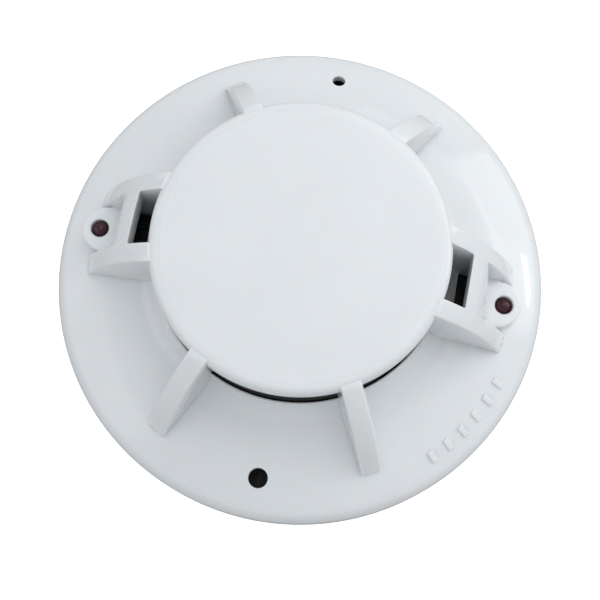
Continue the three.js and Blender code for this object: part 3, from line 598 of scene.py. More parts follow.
def tool_hole(name, radius, angle):
    surface = flange_height(TOOL_HOLE_AT)
    hole = turned(name, [(0, COVER_BOTTOM), (radius, COVER_BOTTOM), (radius, surface + 3),
                         (0, surface + 3)], 40)
    x, y = polar(TOOL_HOLE_AT, angle)
    move_mesh(hole, Matrix.Translation((x * MM, y * MM, 0)))
    return hole


cutters = joined([ring_of(opening, ARM_ANGLES), ring_of(bore, ARM_ANGLES),
                  ring_of(screw_hole, THIRD_ANGLES),
                  tool_hole("small_hole", 1.36, 90), tool_hole("large_hole", 1.92, 270)])
cover = combined(cover, cutters, "DIFFERENCE")
tidy_solid(cover)
finish_surface(cover)

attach(cover, "head")
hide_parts("front_cover")
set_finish(cover, "white_plastic")

# %% [markdown]
# Each alarm lamp is a clear red epoxy body with a domed end and a flange, standing in a bore of
# its tongue. Only the dome shows. A profile with a true half circle is spun, and the flange gets
# the flat side that marks one lead on a real lamp.

# %% Alarm lamps
LAMP_BODY = 1.6
LAMP_FLANGE = 2
lamp_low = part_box("alarm_lamp_right")[0].z / MM
lamp_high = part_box("alarm_lamp_right")[1].z / MM
lamp_dome = arc((0, lamp_high - LAMP_BODY), LAMP_BODY, 0, 90, 14)
lamp = turned("alarm_lamp_red_right",
              [(0, lamp_low), (LAMP_FLANGE - 0.1, lamp_low), (LAMP_FLANGE, lamp_low + 0.1),
               (LAMP_FLANGE, lamp_low + 0.9), (LAMP_FLANGE - 0.1, lamp_low + 1),
               (LAMP_BODY, lamp_low + 1)] + lamp_dome, 48)
flat_side = box_piece("flat_side", (LAMP_BODY + 0.05, -3, lamp_low - 1), (4, 3, lamp_low + 1.5))
lamp = combined(lamp, flat_side, "DIFFERENCE")
move_mesh(lamp, Matrix.Translation((LAMP_R * MM, 0, 0)))
tidy_solid(lamp)
lamps = {"right": lamp, "left": turned_copy(lamp, 180, "alarm_lamp_red_left")}
for side, piece in lamps.items():
    finish_surface(piece)
    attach(piece, "head")
    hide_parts(f"alarm_lamp_{side}")
    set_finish(piece, "lamp_red")

# %% [markdown]
# The sensing cage is an upturned black cup with a wider foot that stands in the collar. Warm air
# must reach the bead inside it, so its wall is a row of tall windows and its roof has a ring of
# vents. The cup is spun, one window with rounded corners and one vent are made, and a ring of
# copies is cut away in one step.

# %% Sensing cage
CAGE_WINDOWS = 14
CAGE_VENTS = 8
CAGE_WALL = 1.5
CAGE_ROOF = 1.2
CAGE_CLEARANCE = 0.4
cage_low, cage_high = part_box("sensor_cage")
foot_r, cage_bottom, cage_top = cage_high.x / MM, cage_low.z / MM, cage_high.z / MM
cage_r = COLLAR_R - WALL - CAGE_CLEARANCE
cage_inner, cage_roof = cage_r - CAGE_WALL, cage_top - CAGE_ROOF
cage = turned("sensor_cage_moulded",
              [(cage_inner, cage_bottom), (foot_r - 0.3, cage_bottom), (foot_r, cage_bottom + 0.3),
               (foot_r, collar_top - 0.25), (foot_r - 0.25, collar_top),
               (cage_r + 0.1, collar_top), (cage_r - 0.25, collar_top + 0.3),
               (cage_r - 0.25, cage_roof - 0.2), (cage_r, cage_roof + 0.1), (cage_r, cage_top - 0.5),
               (cage_r - 0.15, cage_top - 0.15), (cage_r - 0.5, cage_top), (0, cage_top),
               (0, cage_roof), (cage_inner - 0.5, cage_roof), (cage_inner, cage_roof - 0.5)],
              168, closed=True)
window = box_piece("window", (cage_inner - 1, -1.8, collar_top + 0.02),
                   (cage_r + 1, 1.8, cage_roof - 0.6))
bevelled(window, 0.5, 4)
vent = turned("vent", [(0, cage_roof - 1), (1.8, cage_roof - 1), (1.8, cage_top - 0.3),
                       (2.1, cage_top + 0.01), (2.1, cage_top + 1), (0, cage_top + 1)], 32)
move_mesh(vent, Matrix.Translation(((cage_inner - 8.6) * MM, 0, 0)))
openings = joined([ring_of(window, [(i + 0.5) * 360 / CAGE_WINDOWS for i in range(CAGE_WINDOWS)]),
                   ring_of(vent, [i * 360 / CAGE_VENTS for i in range(CAGE_VENTS)])])
cage = combined(cage, openings, "DIFFERENCE")
tidy_solid(cage)
finish_surface(cage, 30)
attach(cage, "head")
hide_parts("sensor_cage")
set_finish(cage, "black_plastic")

# %% [markdown]
# Behind the windows stands a fine woven screen that keeps insects off the bead. It could be a
# pattern of holes in a sheet, but the wires are seen edge on from the side. So the weave is
# modelled: upright wires are one extruded square that steps in and out, and each round wire is a
# spun ring whose points are pushed the other way.

# %% Insect screen
WIRE = 0.1
WEAVE = 0.085
UPRIGHTS = 120
HOOPS = 11
screen_low, screen_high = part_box("insect_screen")
screen_bottom, screen_top = screen_low.z / MM, screen_high.z / MM
screen_r = screen_high.x / MM - 0.2
hoop_step = (screen_top - screen_bottom - 2 * WIRE) / (HOOPS - 1)
hoop_heights = [screen_bottom + WIRE + i * hoop_step for i in range(HOOPS)]


def weave_side(upright, hoop):
    return WEAVE if (upright + hoop) % 2 else -WEAVE


def upright_wire(first):
    wire = box_piece("wire", (screen_r - WIRE / 2, -WIRE / 2, screen_bottom),
                     (screen_r + WIRE / 2, WIRE / 2, screen_top))
    edit(wire)
    bpy.ops.mesh.select_all(action="DESELECT")
    leave_edit()
    for edge in wire.data.edges:
        ends = [wire.data.vertices[i].co for i in edge.vertices]
        edge.select = abs(ends[0].z - ends[1].z) > MM
    make_active(wire)
    bpy.ops.object.mode_set(mode="EDIT")
    bpy.ops.mesh.subdivide(number_cuts=HOOPS - 2)
    leave_edit()
    for vertex in wire.data.vertices:
        hoop = round((vertex.co.z / MM - screen_bottom) / (screen_top - screen_bottom) * (HOOPS - 1))
        vertex.co.x += weave_side(first, hoop) * MM
    return wire


step = 360 / UPRIGHTS
wires = [ring_of(upright_wire(first), [(2 * i + first) * step for i in range(UPRIGHTS // 2)])
         for first in (0, 1)]
for hoop, height in enumerate(hoop_heights):
    low, high = height - WIRE / 2, height + WIRE / 2
    ring = turned("hoop", [(screen_r - WIRE / 2, low), (screen_r + WIRE / 2, low),
                           (screen_r + WIRE / 2, high), (screen_r - WIRE / 2, high)],
                  UPRIGHTS, closed=True)
    for vertex in ring.data.vertices:
        angle = degrees(atan2(vertex.co.y, vertex.co.x))
        push = -weave_side(round(angle / step), hoop) * MM
        vertex.co += Vector((*polar(push, angle), 0))
    wires.append(ring)
screen = joined(wires)
screen.name = "insect_screen_woven"
finish_surface(screen)
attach(screen, "head")
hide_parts("insect_screen")
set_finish(screen, "screen_mesh")

# %% [markdown]
# Under each slot a small black shield covers the board, so nothing green shows from outside. Its
# black is painted shade: the piece stands for the deep shade seen down through the slot. It is one
# block with a foot under the collar. Its top is ribbed, as light traps are: narrow strips are inset
# and pushed down.

# %% Slot shields
shield_low, shield_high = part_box("slot_shield_right")
low_x, low_z, high_x, high_z = (value / MM for value in
                                (shield_low.x, shield_low.z, shield_high.x, shield_high.z))
shield_half = shield_high.y / MM
# A black block that stands for the shade down in the slot: painted shade.
shield = box_piece("slot_shade_shield_ribbed_right", (low_x + 1.4, -shield_half, low_z),
                   (high_x, shield_half, high_z))
bevelled(shield, 0.12, 2)
foot = bevelled(box_piece("foot", (low_x, 0.05 - shield_half, low_z + 1),
                          (high_x - 0.5, shield_half - 0.05, low_z + 1.6)), 0.1, 2)
shield = combined(shield, foot, "UNION")
grooves = [box_piece("groove", (low_x + 1.7, y - 0.22, high_z - 0.45),
                     (high_x + 1, y + 0.22, high_z + 1)) for y in range(-4, 5)]
shield = combined(shield, joined(grooves), "DIFFERENCE")
tidy_solid(shield)
shade_shields = {"right": shield, "left": turned_copy(shield, 180, "slot_shade_shield_ribbed_left")}
for side, piece in shade_shields.items():
    finish_surface(piece)
    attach(piece, "head")
    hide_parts(f"slot_shield_{side}")
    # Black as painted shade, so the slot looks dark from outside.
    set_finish(piece, "black_plastic")

# %% [markdown]
# The rear housing closes the head from behind. It is a round plate with a lip for the dust
# seal, posts for the board and three bayonet lugs that reach into the base. Its black is painted
# shade: it makes the tool holes look dark from outside. A part of a ring, such as a lug, is a
# filled rectangle spun through a few degrees.

# %% Rear housing
def sector(name, corners, start, end, steps):
    """A closed (radius, height) outline spun from one angle to another."""
    points = [(r, 0, z) for r, z in corners]
    piece = drawn_line(name, points + points[:1])
    fill(piece)
    leave_edit()
    move_mesh(piece, Matrix.Rotation(radians(start), 4, "Z"))
    edit(piece)
    bpy.ops.mesh.spin(steps=steps, angle=radians(end - start), center=(0, 0, 0), axis=(0, 0, -1))
    leave_edit()
    tidy_solid(piece)
    return piece


def band(inner, outer, low, high):
    return [(inner, low), (outer, low), (outer, high), (inner, high)]


HOOK_ANGLES = (90, 210, 330)
HOUSING_THICK = 1.6
housing_bottom = housing_top - HOUSING_THICK
housing_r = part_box("rear_housing")[1].x / MM
lip_r = housing_r - 2
rim_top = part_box("mounting_base")[1].z / MM
lug_top = rim_top - 1.6
base_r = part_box("mounting_base")[1].x / MM
hook_r = base_r - 1.8
lug_outer = hook_r - 0.4
lug_inner = lug_outer - 3.8
housing = turned("rear_housing_moulded",
                 [(0, housing_bottom), (housing_r - 0.4, housing_bottom),
                  (housing_r, housing_bottom + 0.4), (housing_r, housing_top - 0.2),
                  (housing_r - 0.2, housing_top), (lip_r, housing_top), (lip_r, housing_top + 1),
                  (lip_r - 0.2, housing_top + 1.2), (lip_r - 1.2, housing_top + 1.2),
                  (lip_r - 1.4, housing_top + 1), (lip_r - 1.4, housing_top), (0, housing_top)],
                 TURNS)
post_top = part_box("circuit_board")[0].z / MM - 0.2
post = turned("post", [(0, housing_top - 1), (1.8, housing_top - 1), (1.8, post_top - 0.3),
                       (1.5, post_top), (0, post_top)], 32)
move_mesh(post, Matrix.Translation(((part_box("circuit_board")[1].x / MM - 7.5) * MM, 0, 0)))
lug_outline = band(lug_inner, lug_outer, lug_top - 1.4, lug_top)[:3]
lug_outline += [(lug_inner + 1.6, lug_top), (lug_inner + 1.6, housing_top - 0.5),
                (lug_inner, housing_top - 0.5)]
lug = bevelled(sector("lug", lug_outline, -6, 6, 12), 0.2, 2)
housing = combined(housing, joined([ring_of(post, (0, 120, 240)), ring_of(lug, HOOK_ANGLES)]), "UNION")
countersink = turned("countersink", [(0, housing_bottom - 0.1), (2.8, housing_bottom - 0.1),
                                     (SCREW_HOLE_R, housing_top - 0.1), (SCREW_HOLE_R, housing_top + 1),
                                     (0, housing_top + 1)], 32)
move_mesh(countersink, Matrix.Translation((SCREW_AT * MM, 0, 0)))
rivet_hole = turned("rivet_hole", [(0, housing_bottom - 1), (1, housing_bottom - 1),
                                   (1, housing_top + 1), (0, housing_top + 1)], 24)
rivet_low, rivet_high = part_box("blade_rivet_1")
rivet_at = Matrix.Rotation(radians(-45), 4, "Z") @ ((rivet_low + rivet_high) / 2)
move_mesh(rivet_hole, Matrix.Translation((rivet_at.x, rivet_at.y, 0)))
holes = joined([ring_of(countersink, THIRD_ANGLES), ring_of(rivet_hole, QUARTER_ANGLES)])
housing = combined(housing, holes, "DIFFERENCE")
leg_hole = box_piece("leg_hole", (29.2, -6.6, housing_bottom - 1), (30.6, -5.4, housing_top + 1))
housing = combined(housing, ring_of(leg_hole, QUARTER_ANGLES), "DIFFERENCE")
tidy_solid(housing)
finish_surface(housing)
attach(housing, "head")
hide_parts("rear_housing")
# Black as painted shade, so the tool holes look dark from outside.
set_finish(housing, "black_plastic")

# %% [markdown]
# The dust seal is a soft ring that lies on the housing outside its lip. Rubber seals of this
# kind have fine ridges on top, which press into the cover, so they are drawn in the profile.

# %% Dust seal
seal_low, seal_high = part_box("dust_seal")
seal_outer, seal_inner = seal_high.x / MM, lip_r + 0.2
seal_floor, seal_top = seal_low.z / MM, seal_high.z / MM
ridge = (seal_outer - seal_inner) / 3
seal_profile = [(seal_inner, seal_floor), (seal_outer, seal_floor)]
for i in range(3):
    outer_edge = seal_outer - i * ridge
    seal_profile += [(outer_edge, seal_top - 0.25), (outer_edge - 0.12, seal_top - 0.05),
                     (outer_edge - ridge / 2, seal_top), (outer_edge - ridge + 0.12, seal_top - 0.05)]
seal_profile += [(seal_inner, seal_top - 0.25)]
seal = turned("dust_seal_ridged", seal_profile, TURNS, closed=True)
finish_surface(seal, 50)
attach(seal, "head")
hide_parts("dust_seal")
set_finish(seal, "rubber_seal")

# %% [markdown]
# The mounting base is screwed to the ceiling and stays there. It is a shallow tray with a cable
# hole, two slots for fixing screws, four raised pads for the terminals and three hooks that the
# lugs slide under. Its back shows the marks of its mould: shallow rings, a fan of grooves that
# thin the floor between its ribs, and the round prints of the ejector pins.

# %% Mounting base tray
BASE_FLOOR = 2
BASE_WALL = 1.8
CABLE_HOLE_R = 9
PAD_LENGTH = 9
PAD_WIDTH = 8
PAD_RISE = 0.4
RING_GROOVES = (12.6, 40.6)
groove_depth = 0.35
base_profile = [(CABLE_HOLE_R, 0.25), (CABLE_HOLE_R + 0.25, 0)]
for radius in RING_GROOVES:
    base_profile += [(radius - 0.6, 0), (radius - 0.45, groove_depth),
                     (radius + 0.45, groove_depth), (radius + 0.6, 0)]
base_profile += [(base_r - 0.6, 0), (base_r - 0.17, 0.17), (base_r, 0.6),
                 (base_r, rim_top - 0.25), (base_r - 0.25, rim_top),
                 (base_r - BASE_WALL + 0.25, rim_top), (base_r - BASE_WALL, rim_top - 0.25),
                 (base_r - BASE_WALL, BASE_FLOOR + 0.5), (base_r - BASE_WALL - 0.5, BASE_FLOOR),
                 (CABLE_HOLE_R, BASE_FLOOR)]
tray = turned("mounting_base_moulded", base_profile, TURNS, closed=True)
washer_low, washer_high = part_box("clamp_washer_1")
terminal_r = hypot(washer_low.x + washer_high.x, washer_low.y + washer_high.y) / 2 / MM
pad = box_piece("pad", (terminal_r - PAD_LENGTH / 2, -PAD_WIDTH / 2, BASE_FLOOR - 1),
                (terminal_r + PAD_LENGTH / 2, PAD_WIDTH / 2, BASE_FLOOR + PAD_RISE))
bevelled(pad, 0.15, 2)
shelf = bevelled(sector("shelf", band(hook_r - 1.8, hook_r + 0.9, rim_top - 1.4, rim_top - 0.05),
                        -9, 8, 17), 0.2, 2)
stop = sector("stop", band(hook_r - 1.7, hook_r + 0.8, BASE_FLOOR - 1, rim_top - 0.7), -8.8, -7, 2)
hook = combined(shelf, stop, "UNION")
tray = combined(tray, joined([ring_of(pad, QUARTER_ANGLES), ring_of(hook, HOOK_ANGLES)]), "UNION")
print("tray with pads and hooks:", len(tray.data.polygons), "faces")

# %% [markdown]
# Everything that is open or sunk in the tray is cut in one step. A fixing slot is a box with
# rounded ends and a shallow wider step round it, where the screw's head would bed.

# %% Mounting base cuts
FIXING_R = base_r - 11


def rounded_slot(name, half_width, half_length, low, high):
    """A slot across the radius with half-round ends, at the fixing radius."""
    ends = (arc((0, half_length - half_width), half_width, 0, 180, 16)
            + arc((0, half_width - half_length), half_width, 180, 360, 16))
    return slab(name, [(FIXING_R + x, y, low) for x, y in ends], (0, 0, high - low))


fixing = combined(rounded_slot("fixing", 2.3, 4.5, -1, BASE_FLOOR + 1),
                  rounded_slot("step", 4, 6.2, BASE_FLOOR - 0.5, BASE_FLOOR + 1.5), "UNION")
pilot = turned("pilot", [(0, 0.4), (1.6, 0.4), (1.6, BASE_FLOOR + 1), (0, BASE_FLOOR + 1)], 24)
move_mesh(pilot, Matrix.Translation((terminal_r * MM, 0, 0)))
fan = [sector("fan_groove", band(15, 38, -1, groove_depth), angle - 0.9, angle + 0.9, 2)
       for angle in range(15, 360, 30) if angle not in QUARTER_ANGLES]
ejector = turned("ejector_print", [(0, -1), (1.6, -1), (1.6, 0.12), (0, 0.12)], 24)
move_mesh(ejector, Matrix.Translation((26 * MM, 0, 0)))
sunk = joined([ring_of(fixing, ARM_ANGLES), ring_of(pilot, QUARTER_ANGLES), joined(fan),
               ring_of(ejector, (30, 90, 150, 210, 270, 330))])
tray = combined(tray, sunk, "DIFFERENCE")
tidy_solid(tray)
finish_surface(tray)
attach(tray, "base")
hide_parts("mounting_base")
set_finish(tray, "back_plastic")

# %% [markdown]
# The grommet lines the cable hole so that its edge can't cut the wires. It is spun from one
# profile: a flange over the floor, a sleeve through the hole, and two soft ridges inside.

# %% Cable grommet
grommet_low, grommet_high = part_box("cable_grommet")
sleeve_low, flange_top = grommet_low.z / MM, grommet_high.z / MM
flange_r = grommet_high.x / MM
grommet = turned("cable_grommet_moulded",
                 [(7.4, sleeve_low), (8.6, sleeve_low), (8.8, sleeve_low + 0.2), (8.8, 2.2),
                  (flange_r - 0.2, 2.2), (flange_r, 2.4), (flange_r, flange_top - 0.4),
                  (flange_r - 0.4, flange_top), (7.5, flange_top), (7.28, flange_top - 0.3),
                  (7.45, flange_top - 0.8), (7.2, flange_top - 1.15), (7.45, flange_top - 1.5),
                  (7.2, flange_top - 1.85), (7.4, flange_top - 2.2)], 96, closed=True)
finish_surface(grommet, 50)
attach(grommet, "base")
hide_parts("cable_grommet")
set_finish(grommet, "rubber_seal")

# %% [markdown]
# Each terminal clamps a wire under a square washer with a slotted screw. The thread is a row of
# rings rather than a helix: only a turn or two can be seen between washer and track, and rings
# keep the mesh closed and light. One screw and one washer are made and turned to four places.

# %% Terminal screws and washers
def threaded_shank(radius, start, end, pitch):
    """Profile points up the outside of a thread of rings."""
    count = round((end - start) / pitch)
    points = [(radius - 0.25, start)]
    for i in range(count):
        low = start + i * (end - start) / count
        points += [(radius, low + pitch / 2), (radius - 0.22, low + pitch * 0.95)]
    return points


THREAD_R = 1.4
SCREW_HEAD_R = 2.7
SCREW_HEAD_THICK = 1.1
THREAD_PITCH = 0.6
screw_low, screw_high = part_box("terminal_screw_1")
head_top = screw_high.z / MM
head_bottom = head_top - SCREW_HEAD_THICK
screw = turned("terminal_screw",
               [(0, screw_low.z / MM)] + threaded_shank(THREAD_R, screw_low.z / MM, head_bottom - 0.3,
                                                       THREAD_PITCH)
               + [(1.3, head_bottom), (2.6, head_bottom), (SCREW_HEAD_R, head_bottom + 0.12),
                  (SCREW_HEAD_R, head_bottom + 0.65), (2.5, head_bottom + 0.9),
                  (2.1, head_top - 0.05),
                  (1.7, head_top), (0, head_top)], 48)
driver_slot = box_piece("driver_slot", (-5, -0.35, head_top - 0.6), (5, 0.35, head_top + 1))
screw = combined(screw, driver_slot, "DIFFERENCE")
WASHER_HALF = 3.1
washer_bottom = washer_low.z / MM
washer = box_piece("clamp_washer", (-WASHER_HALF, -WASHER_HALF, washer_bottom),
                   (WASHER_HALF, WASHER_HALF, washer_bottom + 0.5))
bevelled(washer, 0.12, 2)
washer_cuts = [box_piece("tooth", (-2.6, y - 0.12, washer_bottom - 1),
                         (2.6, y + 0.12, washer_bottom + 0.1)) for y in (-2.7, -2.3, 2.3, 2.7)]
washer_hole = turned("washer_hole", [(0, 0), (1.6, 0), (1.6, 10), (0, 10)], 32)
washer = combined(washer, joined(washer_cuts + [washer_hole]), "DIFFERENCE")
for made, cad_name in ((screw, "terminal_screw"), (washer, "clamp_washer")):
    move_mesh(made, Matrix.Translation((terminal_r * MM, 0, 0)))
    tidy_solid(made)
    for number, angle in enumerate(QUARTER_ANGLES, 1):
        piece = turned_copy(made, angle, f"{cad_name}_finished_{number}")
        finish_surface(piece, 30)
        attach(piece, f"terminal_clamp_{number}")
        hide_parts(f"{cad_name}_{number}")
        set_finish(piece, "zinc_steel")
    bpy.data.objects.remove(made)

# %% [markdown]
# Three countersunk screws hold cover and housing together. They are spun in the same way, with
# the head's cone, a thread of rings and a slot cut across the head.

# %% Case screws
CASE_THREAD_R = 1.25
case_low, case_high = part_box("case_screw_3")
cone_low, screw_end = case_low.z / MM, case_high.z / MM
case_screw = turned("case_screw",
                    [(0, cone_low), (2.4, cone_low), (2.5, cone_low + 0.08),
                     (CASE_THREAD_R, housing_top - 0.2)]
                    + threaded_shank(CASE_THREAD_R, housing_top, screw_end - 0.4, THREAD_PITCH)[1:]
                    + [(0.6, screw_end), (0, screw_end)], 40)
case_slot = box_piece("case_slot", (-5, -0.35, cone_low - 1), (5, 0.35, cone_low + 0.6))
case_screw = combined(case_screw, case_slot, "DIFFERENCE")
move_mesh(case_screw, Matrix.Translation((SCREW_AT * MM, 0, 0)))
tidy_solid(case_screw)
for number, angle in enumerate(THIRD_ANGLES, 1):
    piece = turned_copy(case_screw, angle, f"case_screw_finished_{number}")
    finish_surface(piece, 30)
    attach(piece, "head")
    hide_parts(f"case_screw_{number}")
    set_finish(piece, "zinc_steel")
bpy.data.objects.remove(case_screw)

# %% [markdown]
# Now the finishes. A material here is a small tree of nodes, so one helper adds a node, sets its
# values and links its sockets. Effects that several finishes share are built once as node
# groups: a group gives colours, masks, values and heights, and the shader stays in the material.

# %% Node helpers
def add(tree, kind, inputs=None, **settings):
    """A new node. An input given as a socket is linked, and anything else is set as its value."""
    node = tree.nodes.new(kind)
    for key, value in settings.items():
        setattr(node, key, value)
    for key, value in (inputs or {}).items():
        if isinstance(value, bpy.types.NodeSocket):
            tree.links.new(value, node.inputs[key])
        else:
            node.inputs[key].default_value = value
    return node


def new_group(name, inputs, outputs):
    """An empty shader node group, with its input and output nodes."""
    group = bpy.data.node_groups.new(name, "ShaderNodeTree")
    for label, value in inputs.items():
        kind = "NodeSocketFloat" if isinstance(value, (int, float)) else "NodeSocketColor"
        group.interface.new_socket(name=label, in_out="INPUT", socket_type=kind).default_value = value
    for label, kind in outputs.items():
        group.interface.new_socket(name=label, in_out="OUTPUT", socket_type=f"NodeSocket{kind}")
    return group, group.nodes.new("NodeGroupInput"), group.nodes.new("NodeGroupOutput")


def math(tree, operation, first, second, clamp=False):
    return add(tree, "ShaderNodeMath", {0: first, 1: second}, operation=operation,
               use_clamp=clamp).outputs[0]


def noise(tree, scale, detail=2.0, roughness=0.5, stretch=(1, 1, 1)):
    """Noise on Object coordinates, with scale in cells per metre."""
    coords = add(tree, "ShaderNodeTexCoord").outputs["Object"]
    place = add(tree, "ShaderNodeMapping", {"Vector": coords, "Scale": stretch}).outputs[0]
    return add(tree, "ShaderNodeTexNoise", {"Vector": place, "Scale": scale, "Detail": detail,
                                            "Roughness": roughness}).outputs[0]


def ramp(tree, value, low, high, start=0.0, end=1.0):
    """Maps low..high to start..end, clamped."""
    return add(tree, "ShaderNodeMapRange", {"Value": value, "From Min": low, "From Max": high,
                                            "To Min": start, "To Max": end}).outputs[0]


def blend(tree, mask, first, second):
    """A colour that goes from first to second as the mask goes from 0 to 1."""
    node = add(tree, "ShaderNodeMix", {0: mask, 6: first, 7: second}, data_type="RGBA")
    return node.outputs[2]


def rgb(*values):
    return (*values, 1)


# %% [markdown]
# Moulded plastic is never quite even. Its colour clouds a little over a few centimetres, its
# gloss changes where the mould was polished, and a faint orange-peel skin bends reflections.
# The first group makes these three from noise of different sizes.

# %% Group: moulded skin
skin_group, skin_in, skin_out = new_group(
    "moulded skin", {"Cloud Scale": 45.0, "Gloss Scale": 170.0, "Peel Scale": 420.0,
                     "Grain Scale": 5200.0, "Grain Share": 0.25},
    {"Cloud": "Float", "Gloss": "Float", "Height": "Float"})
cloud = ramp(skin_group, noise(skin_group, skin_in.outputs["Cloud Scale"], 3), 0.35, 0.65)
gloss = ramp(skin_group, noise(skin_group, skin_in.outputs["Gloss Scale"], 4, 0.6), 0.3, 0.7)
peel = noise(skin_group, skin_in.outputs["Peel Scale"], 1)
grain = noise(skin_group, skin_in.outputs["Grain Scale"], 2)
grain_part = math(skin_group, "MULTIPLY", grain, skin_in.outputs["Grain Share"])
skin_height = math(skin_group, "ADD", peel, grain_part)
for label, socket in (("Cloud", cloud), ("Gloss", gloss), ("Height", skin_height)):
    skin_group.links.new(socket, skin_out.inputs[label])
print("moulded skin nodes:", len(skin_group.nodes))

# %% [markdown]
# Household dust settles as small flecks and collects on faces that look upwards. The group
# compares a speckle with a threshold and weighs the result by the surface's own normal, so the
# dust lies on top and never on the walls or underneath.

# %% Group: settled dust
dust_group, dust_in, dust_out = new_group("settled dust", {"Amount": 0.5, "Fleck Scale": 900.0},
                                          {"Mask": "Float"})
flecks = ramp(dust_group, noise(dust_group, dust_in.outputs["Fleck Scale"], 3, 0.7), 0.62, 0.78)
patches = ramp(dust_group, noise(dust_group, 60.0, 2), 0.45, 0.7)
facing = add(dust_group, "ShaderNodeSeparateXYZ",
             {0: add(dust_group, "ShaderNodeNewGeometry").outputs["Normal"]}).outputs["Z"]
upward = ramp(dust_group, facing, 0.3, 0.95)
speckle = math(dust_group, "MULTIPLY", flecks, patches)
lying = math(dust_group, "MULTIPLY", speckle, upward)
dust_group.links.new(math(dust_group, "MULTIPLY", lying, dust_in.outputs["Amount"], True),
                     dust_out.inputs["Mask"])

# %% [markdown]
# Plated and rolled metal shows fine drawn lines, a soft clouding of its brightness and a few
# dull spots. One group serves tin, zinc, steel and brass, each with its own values.

# %% Group: worked metal
metal_group, metal_in, metal_out = new_group(
    "worked metal", {"Line Scale": 2600.0, "Spot Scale": 1100.0, "Spots": 0.4},
    {"Line": "Float", "Cloud": "Float", "Spot": "Float"})
line = noise(metal_group, metal_in.outputs["Line Scale"], 2, 0.5, (1, 0.06, 1))
metal_cloud = ramp(metal_group, noise(metal_group, 330.0, 3), 0.35, 0.65)
spot_noise = noise(metal_group, metal_in.outputs["Spot Scale"], 3, 0.65)
spots = math(metal_group, "MULTIPLY", ramp(metal_group, spot_noise, 0.58, 0.7),
             metal_in.outputs["Spots"])
for label, socket in (("Line", line), ("Cloud", metal_cloud), ("Spot", spots)):
    metal_group.links.new(socket, metal_out.inputs[label])

# %% [markdown]
# Edges and inner corners give a moulding its depth. Edges that are touched are rubbed a little
# smoother. Inner corners are darkened: on the plastics as painted shade, on the metals as tarnish
# in the hollows. The curvature of a dense mesh is in Geometry's Pointiness: above one half an edge,
# below it a corner.

# %% Group: edges and corners
edge_group, edge_in, edge_out = new_group("edges and corners", {"Reach": 0.04},
                                          {"Edge": "Float", "Corner": "Float"})
point = add(edge_group, "ShaderNodeNewGeometry").outputs["Pointiness"]
above = math(edge_group, "SUBTRACT", point, 0.505)
below = math(edge_group, "SUBTRACT", 0.495, point)
breakup = ramp(edge_group, noise(edge_group, 700.0, 3), 0.3, 0.7, 0.3, 1.0)
for label, side in (("Edge", above), ("Corner", below)):
    share = math(edge_group, "DIVIDE", side, edge_in.outputs["Reach"], True)
    edge_group.links.new(math(edge_group, "MULTIPLY", share, breakup, True), edge_out.inputs[label])

# %% [markdown]
# The dome's top is lightly textured in its mould, while the flange and tongues are polished. The
# group finds the dome by radius and height in Object coordinates, so the texture stays on it.

# %% Group: textured crown
TEXTURE_R = DOME_R - 1.7
TEXTURE_BOTTOM = COVER_TOP - 3.51
crown_group, crown_in, crown_out = new_group(
    "textured crown", {"Radius": TEXTURE_R * MM, "Height": TEXTURE_BOTTOM * MM}, {"Mask": "Float"})
place = add(crown_group, "ShaderNodeTexCoord").outputs["Object"]
parts = add(crown_group, "ShaderNodeSeparateXYZ", {0: place}).outputs
across = math(crown_group, "ADD", math(crown_group, "POWER", parts["X"], 2.0),
              math(crown_group, "POWER", parts["Y"], 2.0))
radius = math(crown_group, "SQRT", across, 0.0)
inside = math(crown_group, "SUBTRACT", crown_in.outputs["Radius"], radius)
within = math(crown_group, "MULTIPLY", inside, 700.0, True)
over = math(crown_group, "SUBTRACT", parts["Z"], crown_in.outputs["Height"])
above = math(crown_group, "MULTIPLY", over, 2000.0, True)
crown_group.links.new(math(crown_group, "MULTIPLY", within, above), crown_out.inputs["Mask"])

# %% [markdown]
# A material is made in three steps: an empty shader with its plain values, the shared groups
# placed in it with values of their own, and the links that feed the shader at the end.

# %% Material helpers
def use(tree, group, **values):
    """The group placed in a material. An underscore in a value's name stands for a space."""
    node = add(tree, "ShaderNodeGroup", node_tree=group)
    for key, value in values.items():
        node.inputs[key.replace("_", " ")].default_value = value
    return node.outputs


def new_material(name, **shader_values):
    """A material with an empty Principled shader, whose plain values are set on its sockets."""
    material = bpy.data.materials.new(name)
    material.use_nodes = True
    shader = material.node_tree.nodes["Principled BSDF"]
    for key, value in shader_values.items():
        shader.inputs[key.replace("_", " ")].default_value = value
    return material, material.node_tree, shader


def feed(tree, shader, height, depth, **sockets):
    """Links colours and values to the shader, and a height through a bump of depth metres."""
    for key, value in sockets.items():
        tree.links.new(value, shader.inputs[key.replace("_", " ")])
    bump = add(tree, "ShaderNodeBump", {"Height": height, "Distance": depth, "Strength": 1.0})
    tree.links.new(bump.outputs[0], shader.inputs["Normal"])
